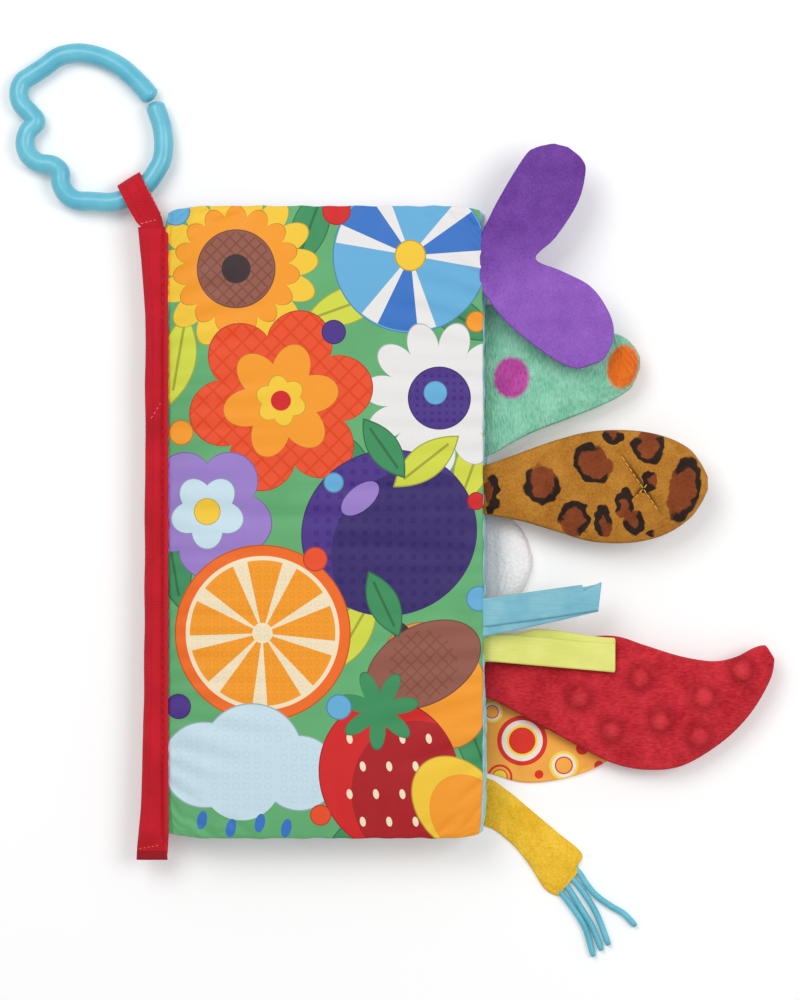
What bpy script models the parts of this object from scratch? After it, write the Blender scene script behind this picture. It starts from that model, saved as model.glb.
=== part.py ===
"""Crinkle cloth book: four padded leaves gathered in a spine binding, with plush
tails and ribbon loops sewn into the page edges, and a link ring on a hanging loop.

Frame: X runs from the spine to the free page edges, Y up the page and Z out of
the front cover, in metres. The book lies on its back cover, and the origin is
the centre of the flat face that it rests on.
"""
import math

import bmesh
import bpy
from mathutils import Matrix, Vector

COLLECTION_NAME = "crinkle_cloth_book"

# Leaves, from the back cover up to the front cover
LEAF_NAMES = ("back_cover", "leaf_3", "leaf_2", "front_cover")
LEAF_WIDTH = 0.1194
LEAF_STAGGER = 0.0007
LEAF_HEIGHT = 0.2400
LEAF_THICKNESS = 0.0056
LEAF_GAP = 0.0004
FABRIC = 0.0005
SEAM_HALF = 0.00065
CLEARANCE = 0.0003
FILM = 0.00025
CORNER_PULL = 0.0016
CORNER_POWER = 12
SPINE_REACH = 0.0220
CROWN_POWER = 4.0
CROWN_SHARPNESS = 0.5
PAGE_CELLS = (8, 12)

# Spine: seam allowances of the leaves, gripped by a folded tape
HINGE_GAP = 0.0003
HINGE_PITCH = 0.0035
SPINE_HEIGHT = 0.0118
SEAM_STRIP = 0.0006
SEAM_STRIP_PITCH = 0.0013
SEAM_STRIP_DEPTH = 0.0064
SEAM_STRIP_INSET = 0.0010
NECK = 0.0015
TAPE = 0.0007
BINDING_WIDTH = 0.0084
BINDING_BELOW = 0.0088
BINDING_SHORT = 0.0076
BINDING_FOLD_STEPS = 8

# Hanging loop of tape, and the link ring that it carries
LOOP_TAPE_WIDTH = 0.0100
LOOP_REACH = 0.0152
LOOP_BAR = 0.0030
LOOP_LEAN = math.radians(27)
WIRE_LEAN = math.radians(32)
LOOP_ROOM = 0.0015
LOOP_TURN = math.radians(110)
LOOP_TURN_STEPS = 10
LOOP_SHIFT = 0.0004
RING_WIDTH = 0.0630
RING_WIRE = 0.0074
RING_STEPS = 2
RING_BEVEL_STEPS = 3
RING_POINT_SHARES = (
    (0.370, 0.180), (0.298, 0.266), (0.189, 0.367), (0.070, 0.430),
    (-0.065, 0.460), (-0.192, 0.439), (-0.285, 0.375), (-0.361, 0.325),
    (-0.420, 0.283), (-0.442, 0.215), (-0.424, 0.147), (-0.369, 0.088),
    (-0.336, 0.037), (-0.386, -0.022), (-0.403, -0.098), (-0.378, -0.166),
    (-0.319, -0.212), (-0.234, -0.225), (-0.188, -0.267), (-0.184, -0.335),
    (-0.149, -0.402), (-0.090, -0.440), (0.002, -0.446), (0.120, -0.452),
    (0.205, -0.431), (0.270, -0.392), (0.340, -0.342), (0.400, -0.258),
    (0.434, -0.183), (0.442, -0.090), (0.430, 0.012), (0.400, 0.105),
    (0.384, 0.150),
)
RING_CARRIED_POINT = 25

# Tails: bags of plush or satin, sewn into the free page edges
TAIL_FABRIC = 0.0005
TAIL_FILL_SHARE = 0.60
TAIL_CELLS = (11, 6)
SWELL_PEAK_SHARE = 0.45
SWELL_END_POWER = 2.5
SWELL_SHARPNESS = 0.6
LOBE_POWER = 4
LOBE_SHARPNESS = 0.5
TUFT_FALL = 4
ROOT_GAP = 0.0003
BED_GAP = 0.00015

# Each row is one station from the root outwards: the lower and the upper edge of
# the tail there, as shares of its length outwards and of its width up the page.
# A root share is the root's place up the page, from -1 at the foot to 1 at the head
PURPLE_LEAF = "front_cover"
PURPLE_ROOT_SHARE = 0.8425
PURPLE_LENGTH = 0.0486
PURPLE_WIDTH = 0.0859
PURPLE_CROWN = (0.0011, 0.0009)
PURPLE_ROW_SHARES = (
    ((0.50, 0.49), (0.70, 0.47)), ((0.32, 0.44), (0.79, 0.38)),
    ((0.145, 0.28), (0.73, 0.235)), ((0.03, 0.146), (0.56, 0.084)),
    ((0.0, 0.0), (0.40, -0.013)), ((0.0, -0.14), (0.61, -0.07)),
    ((0.145, -0.277), (0.836, -0.14)), ((0.40, -0.40), (0.98, -0.26)),
    ((0.69, -0.50), (0.93, -0.447)),
)
GREEN_LEAF = "leaf_3"
GREEN_ROOT_SHARE = 0.450
GREEN_LENGTH = 0.0583
GREEN_WIDTH = 0.0581
GREEN_CROWN = (0.0040, 0.0036)
GREEN_ROW_SHARES = (
    ((0.0, -0.50), (0.0, 0.50)), ((0.27, -0.35), (0.27, 0.48)),
    ((0.55, -0.24), (0.55, 0.42)), ((0.77, -0.15), (0.76, 0.33)),
    ((0.93, -0.05), (0.89, 0.29)), ((0.99, 0.05), (0.99, 0.18)),
)
LEOPARD_LEAF = "leaf_2"
LEOPARD_ROOT_SHARE = 0.102
LEOPARD_LENGTH = 0.0844
LEOPARD_WIDTH = 0.0433
LEOPARD_CROWN = (0.0050, 0.0046)
LEOPARD_TUFT_SHARE = 0.70
LEOPARD_TUFT_SPREAD_SHARE = 0.16
LEOPARD_TUFT_DEPTH_SHARE = 0.45
LEOPARD_ROW_SHARES = (
    ((0.0, -0.21), (0.0, 0.21)), ((0.16, -0.27), (0.16, 0.325)),
    ((0.32, -0.36), (0.32, 0.435)), ((0.48, -0.45), (0.48, 0.51)),
    ((0.655, -0.46), (0.655, 0.52)), ((0.80, -0.395), (0.80, 0.47)),
    ((0.92, -0.24), (0.92, 0.35)), ((0.99, -0.035), (0.99, 0.15)),
)
WHITE_LEAF = "back_cover"
WHITE_ROOT_SHARE = -0.123
WHITE_LENGTH = 0.0163
WHITE_WIDTH = 0.0372
WHITE_CROWN = (0.0045, 0.0)
WHITE_ROW_SHARES = (
    ((0.0, -0.50), (0.0, 0.50)), ((0.40, -0.43), (0.40, 0.43)),
    ((0.73, -0.30), (0.73, 0.27)), ((0.97, -0.11), (0.97, 0.06)),
)
RED_LEAF = "leaf_3"
RED_ROOT_SHARE = -0.4875
RED_LENGTH = 0.1096
RED_WIDTH = 0.0509
RED_CROWN = (0.0056, 0.0030)
RED_ROW_SHARES = (
    ((0.0, -0.16), (0.0, 0.16)), ((0.16, -0.34), (0.16, 0.22)),
    ((0.30, -0.51), (0.30, 0.27)), ((0.44, -0.66), (0.44, 0.29)),
    ((0.57, -0.71), (0.55, 0.22)), ((0.69, -0.67), (0.67, 0.14)),
    ((0.825, -0.49), (0.785, 0.10)), ((0.92, -0.28), (0.865, 0.13)),
    ((0.985, -0.04), (0.93, 0.20)), ((1.0, 0.10), (0.966, 0.22)),
)
ORANGE_LEAF = "back_cover"
ORANGE_ROOT_SHARE = -0.674
ORANGE_LENGTH = 0.0496
ORANGE_WIDTH = 0.0361
ORANGE_CROWN = (0.0022, 0.0)
ORANGE_ROW_SHARES = (
    ((0.0, -0.43), (0.0, 0.47)), ((0.26, -0.53), (0.26, 0.47)),
    ((0.53, -0.505), (0.53, 0.37)), ((0.79, -0.40), (0.78, 0.18)),
    ((1.0, -0.23), (0.98, -0.03)),
)
YELLOW_LEAF = "back_cover"
YELLOW_ROOT_SHARE = -0.893
YELLOW_LENGTH = 0.0355
YELLOW_WIDTH = 0.0448
YELLOW_CROWN = (0.0022, 0.0)
YELLOW_END_SHARE = 0.55
YELLOW_ROW_SHARES = (
    ((0.0, -0.21), (0.0, 0.20)), ((0.16, -0.30), (0.24, 0.06)),
    ((0.31, -0.41), (0.495, -0.11)), ((0.465, -0.57), (0.75, -0.28)),
    ((0.60, -0.74), (1.0, -0.45)), ((0.70, -0.80), (0.96, -0.56)),
)

# Ribbon loops: a length of ribbon folded back on itself
RIBBON = 0.0005
RIBBON_WIDTH = 0.0108
RIBBON_STEPS = 6
RIBBON_FOLD_STEPS = 5
TEAL_LEAF = "front_cover"
TEAL_ROOT_SHARE = -0.304
TEAL_REACH = 0.0440
TEAL_RISE = 0.0080
TEAL_SPREAD = 0.0021
LIME_LEAF = "leaf_2"
LIME_ROOT_SHARE = -0.405
LIME_REACH = 0.0488
LIME_RISE = -0.0015
LIME_SPREAD = 0.0012

# Fringe cords at the end of the yellow tail: routes along the table, hand-picked
CORD = 0.0024
CORD_BEVEL_STEPS = 2
CORD_STEPS_PER_DIAMETER = 0.5
CORD_HEIGHT = 0.0014
CORD_ROUTES = (
    ((0.0962, -0.1334), (0.0998, -0.1393), (0.1039, -0.1439),
     (0.1094, -0.1478), (0.1140, -0.1505), (0.1186, -0.1553)),
    ((0.0938, -0.1361), (0.0992, -0.1433), (0.1037, -0.1509), (0.1083, -0.1626)),
    ((0.0914, -0.1387), (0.0967, -0.1469), (0.1018, -0.1554), (0.1056, -0.1646)),
    ((0.0890, -0.1412), (0.0946, -0.1485), (0.0992, -0.1561), (0.1025, -0.1670)),
)

# Places that follow from the sizes
SPINE_X = -LEAF_WIDTH / 2
HINGE_X = SPINE_X - HINGE_GAP
LEAF_PITCH = LEAF_THICKNESS + LEAF_GAP
TOP_Y = LEAF_HEIGHT / 2
CROWN_HALF = LEAF_THICKNESS / 2 - SEAM_HALF


def clear_scene():
    for old in list(bpy.data.objects):
        bpy.data.objects.remove(old, do_unlink=True)


def new_collection(name):
    collection = bpy.data.collections.new(name)
    bpy.context.scene.collection.children.link(collection)
    return collection


def material(name, colour, roughness, metallic=0.0):
    """A Principled material with one plain colour."""
    mat = bpy.data.materials.new(name)
    mat.use_nodes = True
    shader = mat.node_tree.nodes["Principled BSDF"]
    shader.inputs["Base Color"].default_value = (*colour, 1.0)
    shader.inputs["Roughness"].default_value = roughness
    shader.inputs["Metallic"].default_value = metallic
    return mat


def spot_of(pivot):
    """Where a pivot stands in the book's frame."""
    spot = Vector((0, 0, 0))
    while pivot:
        spot += pivot.location
        pivot = pivot.parent
    return spot


def new_pivot(name, spot, carrier=None):
    """The empty that a body turns about, carried by its parent body's pivot."""
    pivot = bpy.data.objects.new(name, None)
    pivot.empty_display_type = "ARROWS"
    pivot.parent = carrier
    pivot.location = Vector(spot) - spot_of(carrier)
    BOOK.objects.link(pivot)
    return pivot


def place(obj, pivot, mat):
    """Give an object its material, and its origin at its body's pivot."""
    BOOK.objects.link(obj)
    obj.data.materials.append(mat)
    obj.data.transform(Matrix.Translation(-spot_of(pivot)))
    obj.parent = pivot


def smooth_curve(points, steps):
    """Points along a Catmull-Rom curve, `steps` to each span of the given points."""
    ends = [2 * points[0] - points[1], *points, 2 * points[-1] - points[-2]]
    curve = []
    for before, start, end, after in zip(ends, ends[1:], ends[2:], ends[3:]):
        for step in range(steps):
            t = step / steps
            pull = (end - before) * t + (2 * before - 5 * start + 4 * end - after) * t * t
            bend = (3 * start - before - 3 * end + after) * t ** 3
            curve.append(start + (pull + bend) / 2)
    curve.append(points[-1])
    return curve


def along_curve(points, share):
    """The point at a share of a smooth curve's spans."""
    spans = len(points) - 1
    place_on = min(max(share, 0.0), 1.0) * spans
    index = min(int(place_on), spans - 1)
    t = place_on - index
    start = points[index]
    end = points[index + 1]
    before = points[index - 1] if index else 2 * start - end
    after = points[index + 2] if index + 2 <= spans else 2 * end - start
    pull = (end - before) * t + (2 * before - 5 * start + 4 * end - after) * t * t
    bend = (3 * start - before - 3 * end + after) * t ** 3
    return start + (pull + bend) / 2


def grid_object(name, cells, shape):
    """An open grid whose points come from shape(u, v), both from 0 to 1."""
    bm = bmesh.new()
    bmesh.ops.create_grid(bm, x_segments=cells[0], y_segments=cells[1], size=1)
    for vert in bm.verts:
        vert.co = shape((vert.co.x + 1) / 2, (vert.co.y + 1) / 2)
    mesh = bpy.data.meshes.new(name)
    bm.to_mesh(mesh)
    bm.free()
    mesh.shade_smooth()
    return bpy.data.objects.new(name, mesh)


def sheet_object(name, cells, shape, thickness, side):
    """A sheet of fabric or film: an open surface thickened to one side of it."""
    sheet = grid_object(name, cells, shape)
    solidify = sheet.modifiers.new("thickness", "SOLIDIFY")
    solidify.thickness = thickness
    solidify.offset = side
    return sheet


def filling_object(name, cells, low, high):
    """A soft filling between two surfaces, grown from a grid by extrusion."""
    bm = bmesh.new()
    bmesh.ops.create_grid(bm, x_segments=cells[0], y_segments=cells[1], size=1)
    places = {vert: ((vert.co.x + 1) / 2, (vert.co.y + 1) / 2) for vert in bm.verts}
    grown = bmesh.ops.extrude_face_region(bm, geom=list(bm.faces), use_keep_orig=True)
    top = [item for item in grown["geom"] if isinstance(item, bmesh.types.BMVert)]
    for vert in top:
        vert.co = high((vert.co.x + 1) / 2, (vert.co.y + 1) / 2)
    for vert, (u, v) in places.items():
        vert.co = low(u, v)
    bmesh.ops.recalc_face_normals(bm, faces=list(bm.faces))
    mesh = bpy.data.meshes.new(name)
    bm.to_mesh(mesh)
    bm.free()
    mesh.shade_smooth()
    return bpy.data.objects.new(name, mesh)


def tube_object(name, points, diameter, resolution):
    """A round tube with filled ends along a row of points."""
    curve = bpy.data.curves.new(name, "CURVE")
    curve.dimensions = "3D"
    curve.bevel_depth = diameter / 2
    curve.bevel_resolution = resolution
    curve.use_fill_caps = True
    spline = curve.splines.new("POLY")
    spline.points.add(len(points) - 1)
    for spot, point in zip(spline.points, points):
        spot.co = (*point, 1.0)
    return bpy.data.objects.new(name, curve)


def leaf_level(number):
    """Height of the middle of a leaf's free edge: the back cover's lies flat."""
    if number == 0:
        return SEAM_HALF
    return LEAF_THICKNESS / 2 + number * LEAF_PITCH


def hinge_level(number):
    """Height of the middle of a leaf's seam at the spine."""
    middle = (len(LEAF_NAMES) - 1) / 2
    return SPINE_HEIGHT + (number - middle) * HINGE_PITCH


def half_width(number):
    """Half a leaf's width: each leaf shows a little past the one in front of it."""
    return (LEAF_WIDTH + (len(LEAF_NAMES) - 1 - number) * LEAF_STAGGER) / 2


def edge_x(number):
    """Where a leaf's free edge is."""
    return SPINE_X + 2 * half_width(number)


def leaf_xy(number, u, v):
    """Place on a leaf: grid lines crowd towards the edges, and corners are rounded."""
    x_share = math.sin((u - 0.5) * math.pi)
    y_share = math.sin((v - 0.5) * math.pi)
    pull = CORNER_PULL * (abs(x_share) * abs(y_share)) ** CORNER_POWER
    half = half_width(number)
    return SPINE_X + half + x_share * (half - pull), y_share * (TOP_Y - pull)


def padding_xy(number, u, v):
    """Place on the padding, which ends one grid line inside the leaf's seams."""
    columns, rows = PAGE_CELLS
    u_inside = (1 + (columns - 2) * u) / columns
    return leaf_xy(number, u_inside, (1 + (rows - 2) * v) / rows)


def leaf_crown(number, x, y):
    """How full a leaf is at a place, from 0 at its seams to 1 inside."""
    half = half_width(number)
    across = 1 - min(abs(x - SPINE_X - half) / half, 1) ** CROWN_POWER
    up = 1 - min(abs(y) / TOP_Y, 1) ** CROWN_POWER
    return (across * up) ** CROWN_SHARPNESS


def leaf_faces(number, x, y):
    """Heights of a leaf's back and front face at a place."""
    full = CROWN_HALF * leaf_crown(number, x, y)
    lift = max(0.0, 1 - (x - SPINE_X) / SPINE_REACH) ** 2
    if number == 0:
        low = (hinge_level(number) - SEAM_HALF) * lift
        return low, low + 2 * SEAM_HALF + 2 * full
    level = leaf_level(number)
    middle = level + (hinge_level(number) - level) * lift
    return middle - SEAM_HALF - full, middle + SEAM_HALF + full


def make_leaf(number, pivot):
    """One leaf: two fabric pages with wadding and a crinkle film between them."""
    name = LEAF_NAMES[number]

    def front_face(u, v):
        x, y = leaf_xy(number, u, v)
        return Vector((x, y, leaf_faces(number, x, y)[1]))

    def back_face(u, v):
        x, y = leaf_xy(number, u, v)
        return Vector((x, y, leaf_faces(number, x, y)[0]))

    def film_face(u, v):
        x, y = padding_xy(number, u, v)
        return Vector((x, y, leaf_faces(number, x, y)[0] + FABRIC + CLEARANCE))

    def wadding_low(u, v):
        x, y = padding_xy(number, u, v)
        film_top = FABRIC + CLEARANCE + FILM
        return Vector((x, y, leaf_faces(number, x, y)[0] + film_top + CLEARANCE))

    def wadding_high(u, v):
        x, y = padding_xy(number, u, v)
        return Vector((x, y, leaf_faces(number, x, y)[1] - FABRIC - CLEARANCE))

    padding_cells = (PAGE_CELLS[0] - 2, PAGE_CELLS[1] - 2)
    front = sheet_object(name + "_front_page", PAGE_CELLS, front_face, FABRIC, -1)
    back = sheet_object(name + "_back_page", PAGE_CELLS, back_face, FABRIC, 1)
    film = sheet_object(name + "_crinkle_film", padding_cells, film_face, FILM, 1)
    wadding = filling_object(name + "_wadding", padding_cells, wadding_low, wadding_high)
    place(front, pivot, PRINT)
    place(back, pivot, PRINT)
    place(film, pivot, FILM_CLEAR)
    place(wadding, pivot, WADDING)


def make_seam_strip(number, pivot):
    """The seam allowance of a leaf: gripped in the binding, then turned to its hinge."""
    inner = SPINE_HEIGHT + (number - (len(LEAF_NAMES) - 1) / 2) * SEAM_STRIP_PITCH
    bend_x = HINGE_X - HINGE_GAP - NECK + SEAM_STRIP / 2
    path = (
        (bend_x - SEAM_STRIP_DEPTH, inner),
        (bend_x, inner),
        (HINGE_X - HINGE_GAP, hinge_level(number)),
    )
    bottom = -TOP_Y + SEAM_STRIP_INSET
    top = binding_edges()[1] - SEAM_STRIP_INSET

    def shape(u, v):
        x, z = path[round(u * (len(path) - 1))]
        return Vector((x, bottom + (top - bottom) * v, z))

    cells = (len(path) - 1, 1)
    strip = sheet_object(LEAF_NAMES[number] + "_spine_seam", cells, shape, SEAM_STRIP, 0)
    place(strip, pivot, PRINT)


def binding_edges():
    """The two ends of the binding, and its half thickness at the tape's middle."""
    pack_half = SEAM_STRIP_PITCH * (len(LEAF_NAMES) - 1) / 2 + SEAM_STRIP / 2
    half = pack_half + CLEARANCE + TAPE / 2
    return -TOP_Y - BINDING_BELOW, TOP_Y - BINDING_SHORT, half


def make_binding(pivot):
    """Tape folded in half lengthways around the seam allowances."""
    bottom, top, half = binding_edges()
    right = HINGE_X - HINGE_GAP - NECK
    fold_x = right - BINDING_WIDTH + half + TAPE / 2
    path = [(right, SPINE_HEIGHT + half)]
    for step in range(BINDING_FOLD_STEPS + 1):
        angle = math.pi / 2 + math.pi * step / BINDING_FOLD_STEPS
        path.append((fold_x + half * math.cos(angle), SPINE_HEIGHT + half * math.sin(angle)))
    path.append((right, SPINE_HEIGHT - half))

    def shape(u, v):
        x, z = path[round(u * (len(path) - 1))]
        return Vector((x, bottom + (top - bottom) * v, z))

    cells = (len(path) - 1, 1)
    binding = sheet_object("spine_binding", cells, shape, TAPE, 0)
    place(binding, pivot, RED_TAPE)


def loop_root():
    """Middle of the hanging loop's base, at the top end of the binding."""
    top = binding_edges()[1]
    right = HINGE_X - HINGE_GAP - NECK
    x = right - BINDING_WIDTH / 2 - LOOP_SHIFT
    return Vector((x, top + HINGE_GAP, SPINE_HEIGHT))


def loop_layer():
    """Height of each tape layer's middle over the loop's own middle."""
    return TAPE / 2 + CLEARANCE / 2


def loop_radius():
    """Radius of the tape's middle where it turns around the ring's wire."""
    return RING_WIRE / 2 + LOOP_ROOM + TAPE / 2


def ring_carrier():
    """Centre of the ring's wire inside the loop."""
    root = loop_root()
    height = loop_radius() + TAPE / 2 + BED_GAP
    away = Vector((-math.sin(LOOP_LEAN), math.cos(LOOP_LEAN), 0)) * LOOP_REACH
    return Vector((root.x + away.x, root.y + away.y, height))


def make_hanging_loop(pivot):
    """Tape that leaves the binding, turns around the ring's wire and comes back."""
    root = loop_root()
    carrier = ring_carrier()
    radius = loop_radius()
    away = Vector((-math.sin(LOOP_LEAN), math.cos(LOOP_LEAN), 0))
    layer = loop_layer()
    outline = [(0.0, layer), (LOOP_BAR, layer)]
    for step in range(LOOP_TURN_STEPS + 1):
        angle = LOOP_TURN - 2 * LOOP_TURN * step / LOOP_TURN_STEPS
        outline.append((LOOP_REACH + radius * math.cos(angle), radius * math.sin(angle)))
    outline += [(LOOP_BAR, -layer), (0.0, -layer)]

    def shape(u, v):
        reach, height = outline[round(u * (len(outline) - 1))]
        share = min(reach / LOOP_REACH, 1.0)
        lean = WIRE_LEAN * share
        across = Vector((math.cos(lean), math.sin(lean), 0)) * (v - 0.5) * LOOP_TAPE_WIDTH
        middle = root.z + (carrier.z - root.z) * share
        spot = Vector((root.x, root.y, middle + height)) + away * reach
        return spot + across

    cells = (len(outline) - 1, 2)
    loop = sheet_object("hanging_loop", cells, shape, TAPE, 0)
    place(loop, pivot, RED_TAPE)


def make_ring(pivot):
    """Wavy split ring, tipped so that its far side rests on the table."""
    carrier = ring_carrier()
    origin = Vector(RING_POINT_SHARES[RING_CARRIED_POINT])
    flat = [(Vector(share) - origin) * RING_WIDTH for share in RING_POINT_SHARES]
    away = Vector((-math.sin(LOOP_LEAN), math.cos(LOOP_LEAN)))
    reach = max(point.dot(away) for point in flat)
    drop = carrier.z - RING_WIRE / 2
    slope = drop / reach
    points = []
    for point in smooth_curve(flat, RING_STEPS):
        height = carrier.z - slope * max(point.dot(away), 0.0)
        points.append(Vector((carrier.x + point.x, carrier.y + point.y, height)))
    ring = tube_object("link_ring", points, RING_WIRE, RING_BEVEL_STEPS)
    place(ring, pivot, RING_PLASTIC)


def tuft_dip(u, v, tuft):
    """How much of a tail's fullness is left around a sewn tuft."""
    place_share, spread_share, depth_share = tuft
    away = ((u - place_share) ** 2 + ((v - 0.5) / 2) ** 2) / spread_share ** 2
    return 1 - depth_share * math.exp(-away * TUFT_FALL)


def tail_swell(u, two_ended, end_share):
    """How full a tail is along its length, from its pinched root to its end."""
    if two_ended:
        return (1 - abs(2 * u - 1) ** LOBE_POWER) ** LOBE_SHARPNESS
    if u < SWELL_PEAK_SHARE:
        return 1 - (1 - u / SWELL_PEAK_SHARE) ** 2
    beyond = (u - SWELL_PEAK_SHARE) / (1 - SWELL_PEAK_SHARE)
    fall = max(1 - beyond ** SWELL_END_POWER, 0.0) ** SWELL_SHARPNESS
    return max(fall, end_share)


def tail_root(leaf, root_share):
    """Middle of a tail's root, just off the page edge that it is sewn into."""
    number = LEAF_NAMES.index(leaf)
    return Vector((edge_x(number) + ROOT_GAP, root_share * TOP_Y, leaf_level(number)))


def make_tail(name, leaf, root_share, length, width, crown, rows, pivot, mat,
              stuffed=True, two_ended=False, end_share=0.0, tuft=None):
    """A sewn bag: front and back fabric, pinched at the seam, over stuffing."""
    root = tail_root(leaf, root_share)
    lower = [Vector((low[0] * length, low[1] * width)) for low, _ in rows]
    upper = [Vector((high[0] * length, high[1] * width)) for _, high in rows]

    def spot(u, v):
        low = along_curve(lower, u)
        high = along_curve(upper, u)
        flat = low + (high - low) * v
        full = tail_swell(u, two_ended, end_share)
        full *= (1 - abs(2 * v - 1) ** SWELL_END_POWER) ** SWELL_SHARPNESS
        if tuft:
            full *= tuft_dip(u, v, tuft)
        return root.x + max(flat.x, 0.0), root.y + flat.y, full

    def front_face(u, v):
        x, y, full = spot(u, v)
        return Vector((x, y, root.z + SEAM_HALF + crown[0] * full))

    def back_face(u, v):
        x, y, full = spot(u, v)
        base = max(root.z - SEAM_HALF, BED_GAP)
        return Vector((x, y, base - crown[1] * full))

    stations, bands = TAIL_CELLS

    def inside(u, v):
        return (1 + (stations - 2) * u) / stations, (1 + (bands - 2) * v) / bands

    def stuffing_low(u, v):
        x, y, full = spot(*inside(u, v))
        return Vector((x, y, root.z - crown[1] * full * TAIL_FILL_SHARE))

    def stuffing_high(u, v):
        x, y, full = spot(*inside(u, v))
        return Vector((x, y, root.z + crown[0] * full * TAIL_FILL_SHARE))

    front = sheet_object(name + "_front", TAIL_CELLS, front_face, TAIL_FABRIC, -1)
    back = sheet_object(name + "_back", TAIL_CELLS, back_face, TAIL_FABRIC, 1)
    place(front, pivot, mat)
    place(back, pivot, mat)
    if stuffed:
        cells = (stations - 2, bands - 2)
        filling = filling_object(name + "_stuffing", cells, stuffing_low, stuffing_high)
        place(filling, pivot, WADDING)


def make_ribbon(name, leaf, root_share, reach, rise, spread, pivot, mat):
    """A ribbon folded back on itself, its two layers fanned a little apart."""
    root = tail_root(leaf, root_share)
    layer = RIBBON / 2 + CLEARANCE / 2
    path = []
    for step in range(RIBBON_STEPS + 1):
        share = step / RIBBON_STEPS
        path.append((reach * share, spread + (rise - spread) * share, layer))
    for step in range(1, RIBBON_FOLD_STEPS):
        angle = math.pi / 2 - math.pi * step / RIBBON_FOLD_STEPS
        path.append((reach + layer * math.cos(angle), rise, layer * math.sin(angle)))
    for step in range(RIBBON_STEPS + 1):
        share = 1 - step / RIBBON_STEPS
        path.append((reach * share, (rise + spread) * share - spread, -layer))

    def shape(u, v):
        x, y, z = path[round(u * (len(path) - 1))]
        return root + Vector((x, y + (v - 0.5) * RIBBON_WIDTH, z))

    ribbon = sheet_object(name, (len(path) - 1, 1), shape, RIBBON, 0)
    place(ribbon, pivot, mat)


def make_cord(number, route, pivot):
    """One fringe cord, lying on the table from the tail's end to its cut end."""
    points = [Vector((x, y, CORD_HEIGHT)) for x, y in route]
    span = (points[-1] - points[0]).length / (len(points) - 1)
    steps = max(1, round(span * CORD_STEPS_PER_DIAMETER / CORD))
    path = smooth_curve(points, steps)
    cord = tube_object("fringe_cord_%d" % number, path, CORD, CORD_BEVEL_STEPS)
    place(cord, pivot, TEAL_CORD)


def page_edge_pivot(name, leaf, root_share, leaf_pivots):
    """Pivot of a tail or ribbon: the front of its root seam at the page edge."""
    number = LEAF_NAMES.index(leaf)
    height = leaf_level(number) + SEAM_HALF
    spot = (edge_x(number) + ROOT_GAP / 2, root_share * TOP_Y, height)
    return new_pivot(name + "_hinge", spot, leaf_pivots[leaf])


def make_spine(root):
    """Binding, hanging loop and link ring."""
    make_binding(root)
    top = binding_edges()[1]
    loop_height = SPINE_HEIGHT + loop_layer() + TAPE / 2
    loop_spot = (loop_root().x, top + HINGE_GAP / 2, loop_height)
    loop_pivot = new_pivot("hanging_loop_hinge", loop_spot, root)
    make_hanging_loop(loop_pivot)
    make_ring(new_pivot("link_ring_hinge", ring_carrier(), loop_pivot))


def make_tails(pivots):
    """The seven tails; the orange one lies flat under the red one, on the back cover."""
    purple = page_edge_pivot("purple_tail", PURPLE_LEAF, PURPLE_ROOT_SHARE, pivots)
    make_tail("purple_tail", PURPLE_LEAF, PURPLE_ROOT_SHARE, PURPLE_LENGTH, PURPLE_WIDTH,
              PURPLE_CROWN, PURPLE_ROW_SHARES, purple, PURPLE,
              stuffed=False, two_ended=True)
    green = page_edge_pivot("green_tail", GREEN_LEAF, GREEN_ROOT_SHARE, pivots)
    make_tail("green_tail", GREEN_LEAF, GREEN_ROOT_SHARE, GREEN_LENGTH, GREEN_WIDTH,
              GREEN_CROWN, GREEN_ROW_SHARES, green, MINT)
    leopard = page_edge_pivot("leopard_tail", LEOPARD_LEAF, LEOPARD_ROOT_SHARE, pivots)
    tuft = (LEOPARD_TUFT_SHARE, LEOPARD_TUFT_SPREAD_SHARE, LEOPARD_TUFT_DEPTH_SHARE)
    make_tail("leopard_tail", LEOPARD_LEAF, LEOPARD_ROOT_SHARE, LEOPARD_LENGTH, LEOPARD_WIDTH,
              LEOPARD_CROWN, LEOPARD_ROW_SHARES, leopard, OCHRE, tuft=tuft)
    white = page_edge_pivot("white_tail", WHITE_LEAF, WHITE_ROOT_SHARE, pivots)
    make_tail("white_tail", WHITE_LEAF, WHITE_ROOT_SHARE, WHITE_LENGTH, WHITE_WIDTH,
              WHITE_CROWN, WHITE_ROW_SHARES, white, WHITE)
    red = page_edge_pivot("red_tail", RED_LEAF, RED_ROOT_SHARE, pivots)
    make_tail("red_tail", RED_LEAF, RED_ROOT_SHARE, RED_LENGTH, RED_WIDTH,
              RED_CROWN, RED_ROW_SHARES, red, RED_PLUSH)
    make_tail("orange_tail", ORANGE_LEAF, ORANGE_ROOT_SHARE, ORANGE_LENGTH, ORANGE_WIDTH,
              ORANGE_CROWN, ORANGE_ROW_SHARES, pivots[ORANGE_LEAF], ORANGE)
    yellow = page_edge_pivot("yellow_tail", YELLOW_LEAF, YELLOW_ROOT_SHARE, pivots)
    make_tail("yellow_tail", YELLOW_LEAF, YELLOW_ROOT_SHARE, YELLOW_LENGTH, YELLOW_WIDTH,
              YELLOW_CROWN, YELLOW_ROW_SHARES, yellow, YELLOW,
              end_share=YELLOW_END_SHARE)
    for number, route in enumerate(CORD_ROUTES, start=1):
        make_cord(number, route, yellow)


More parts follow.
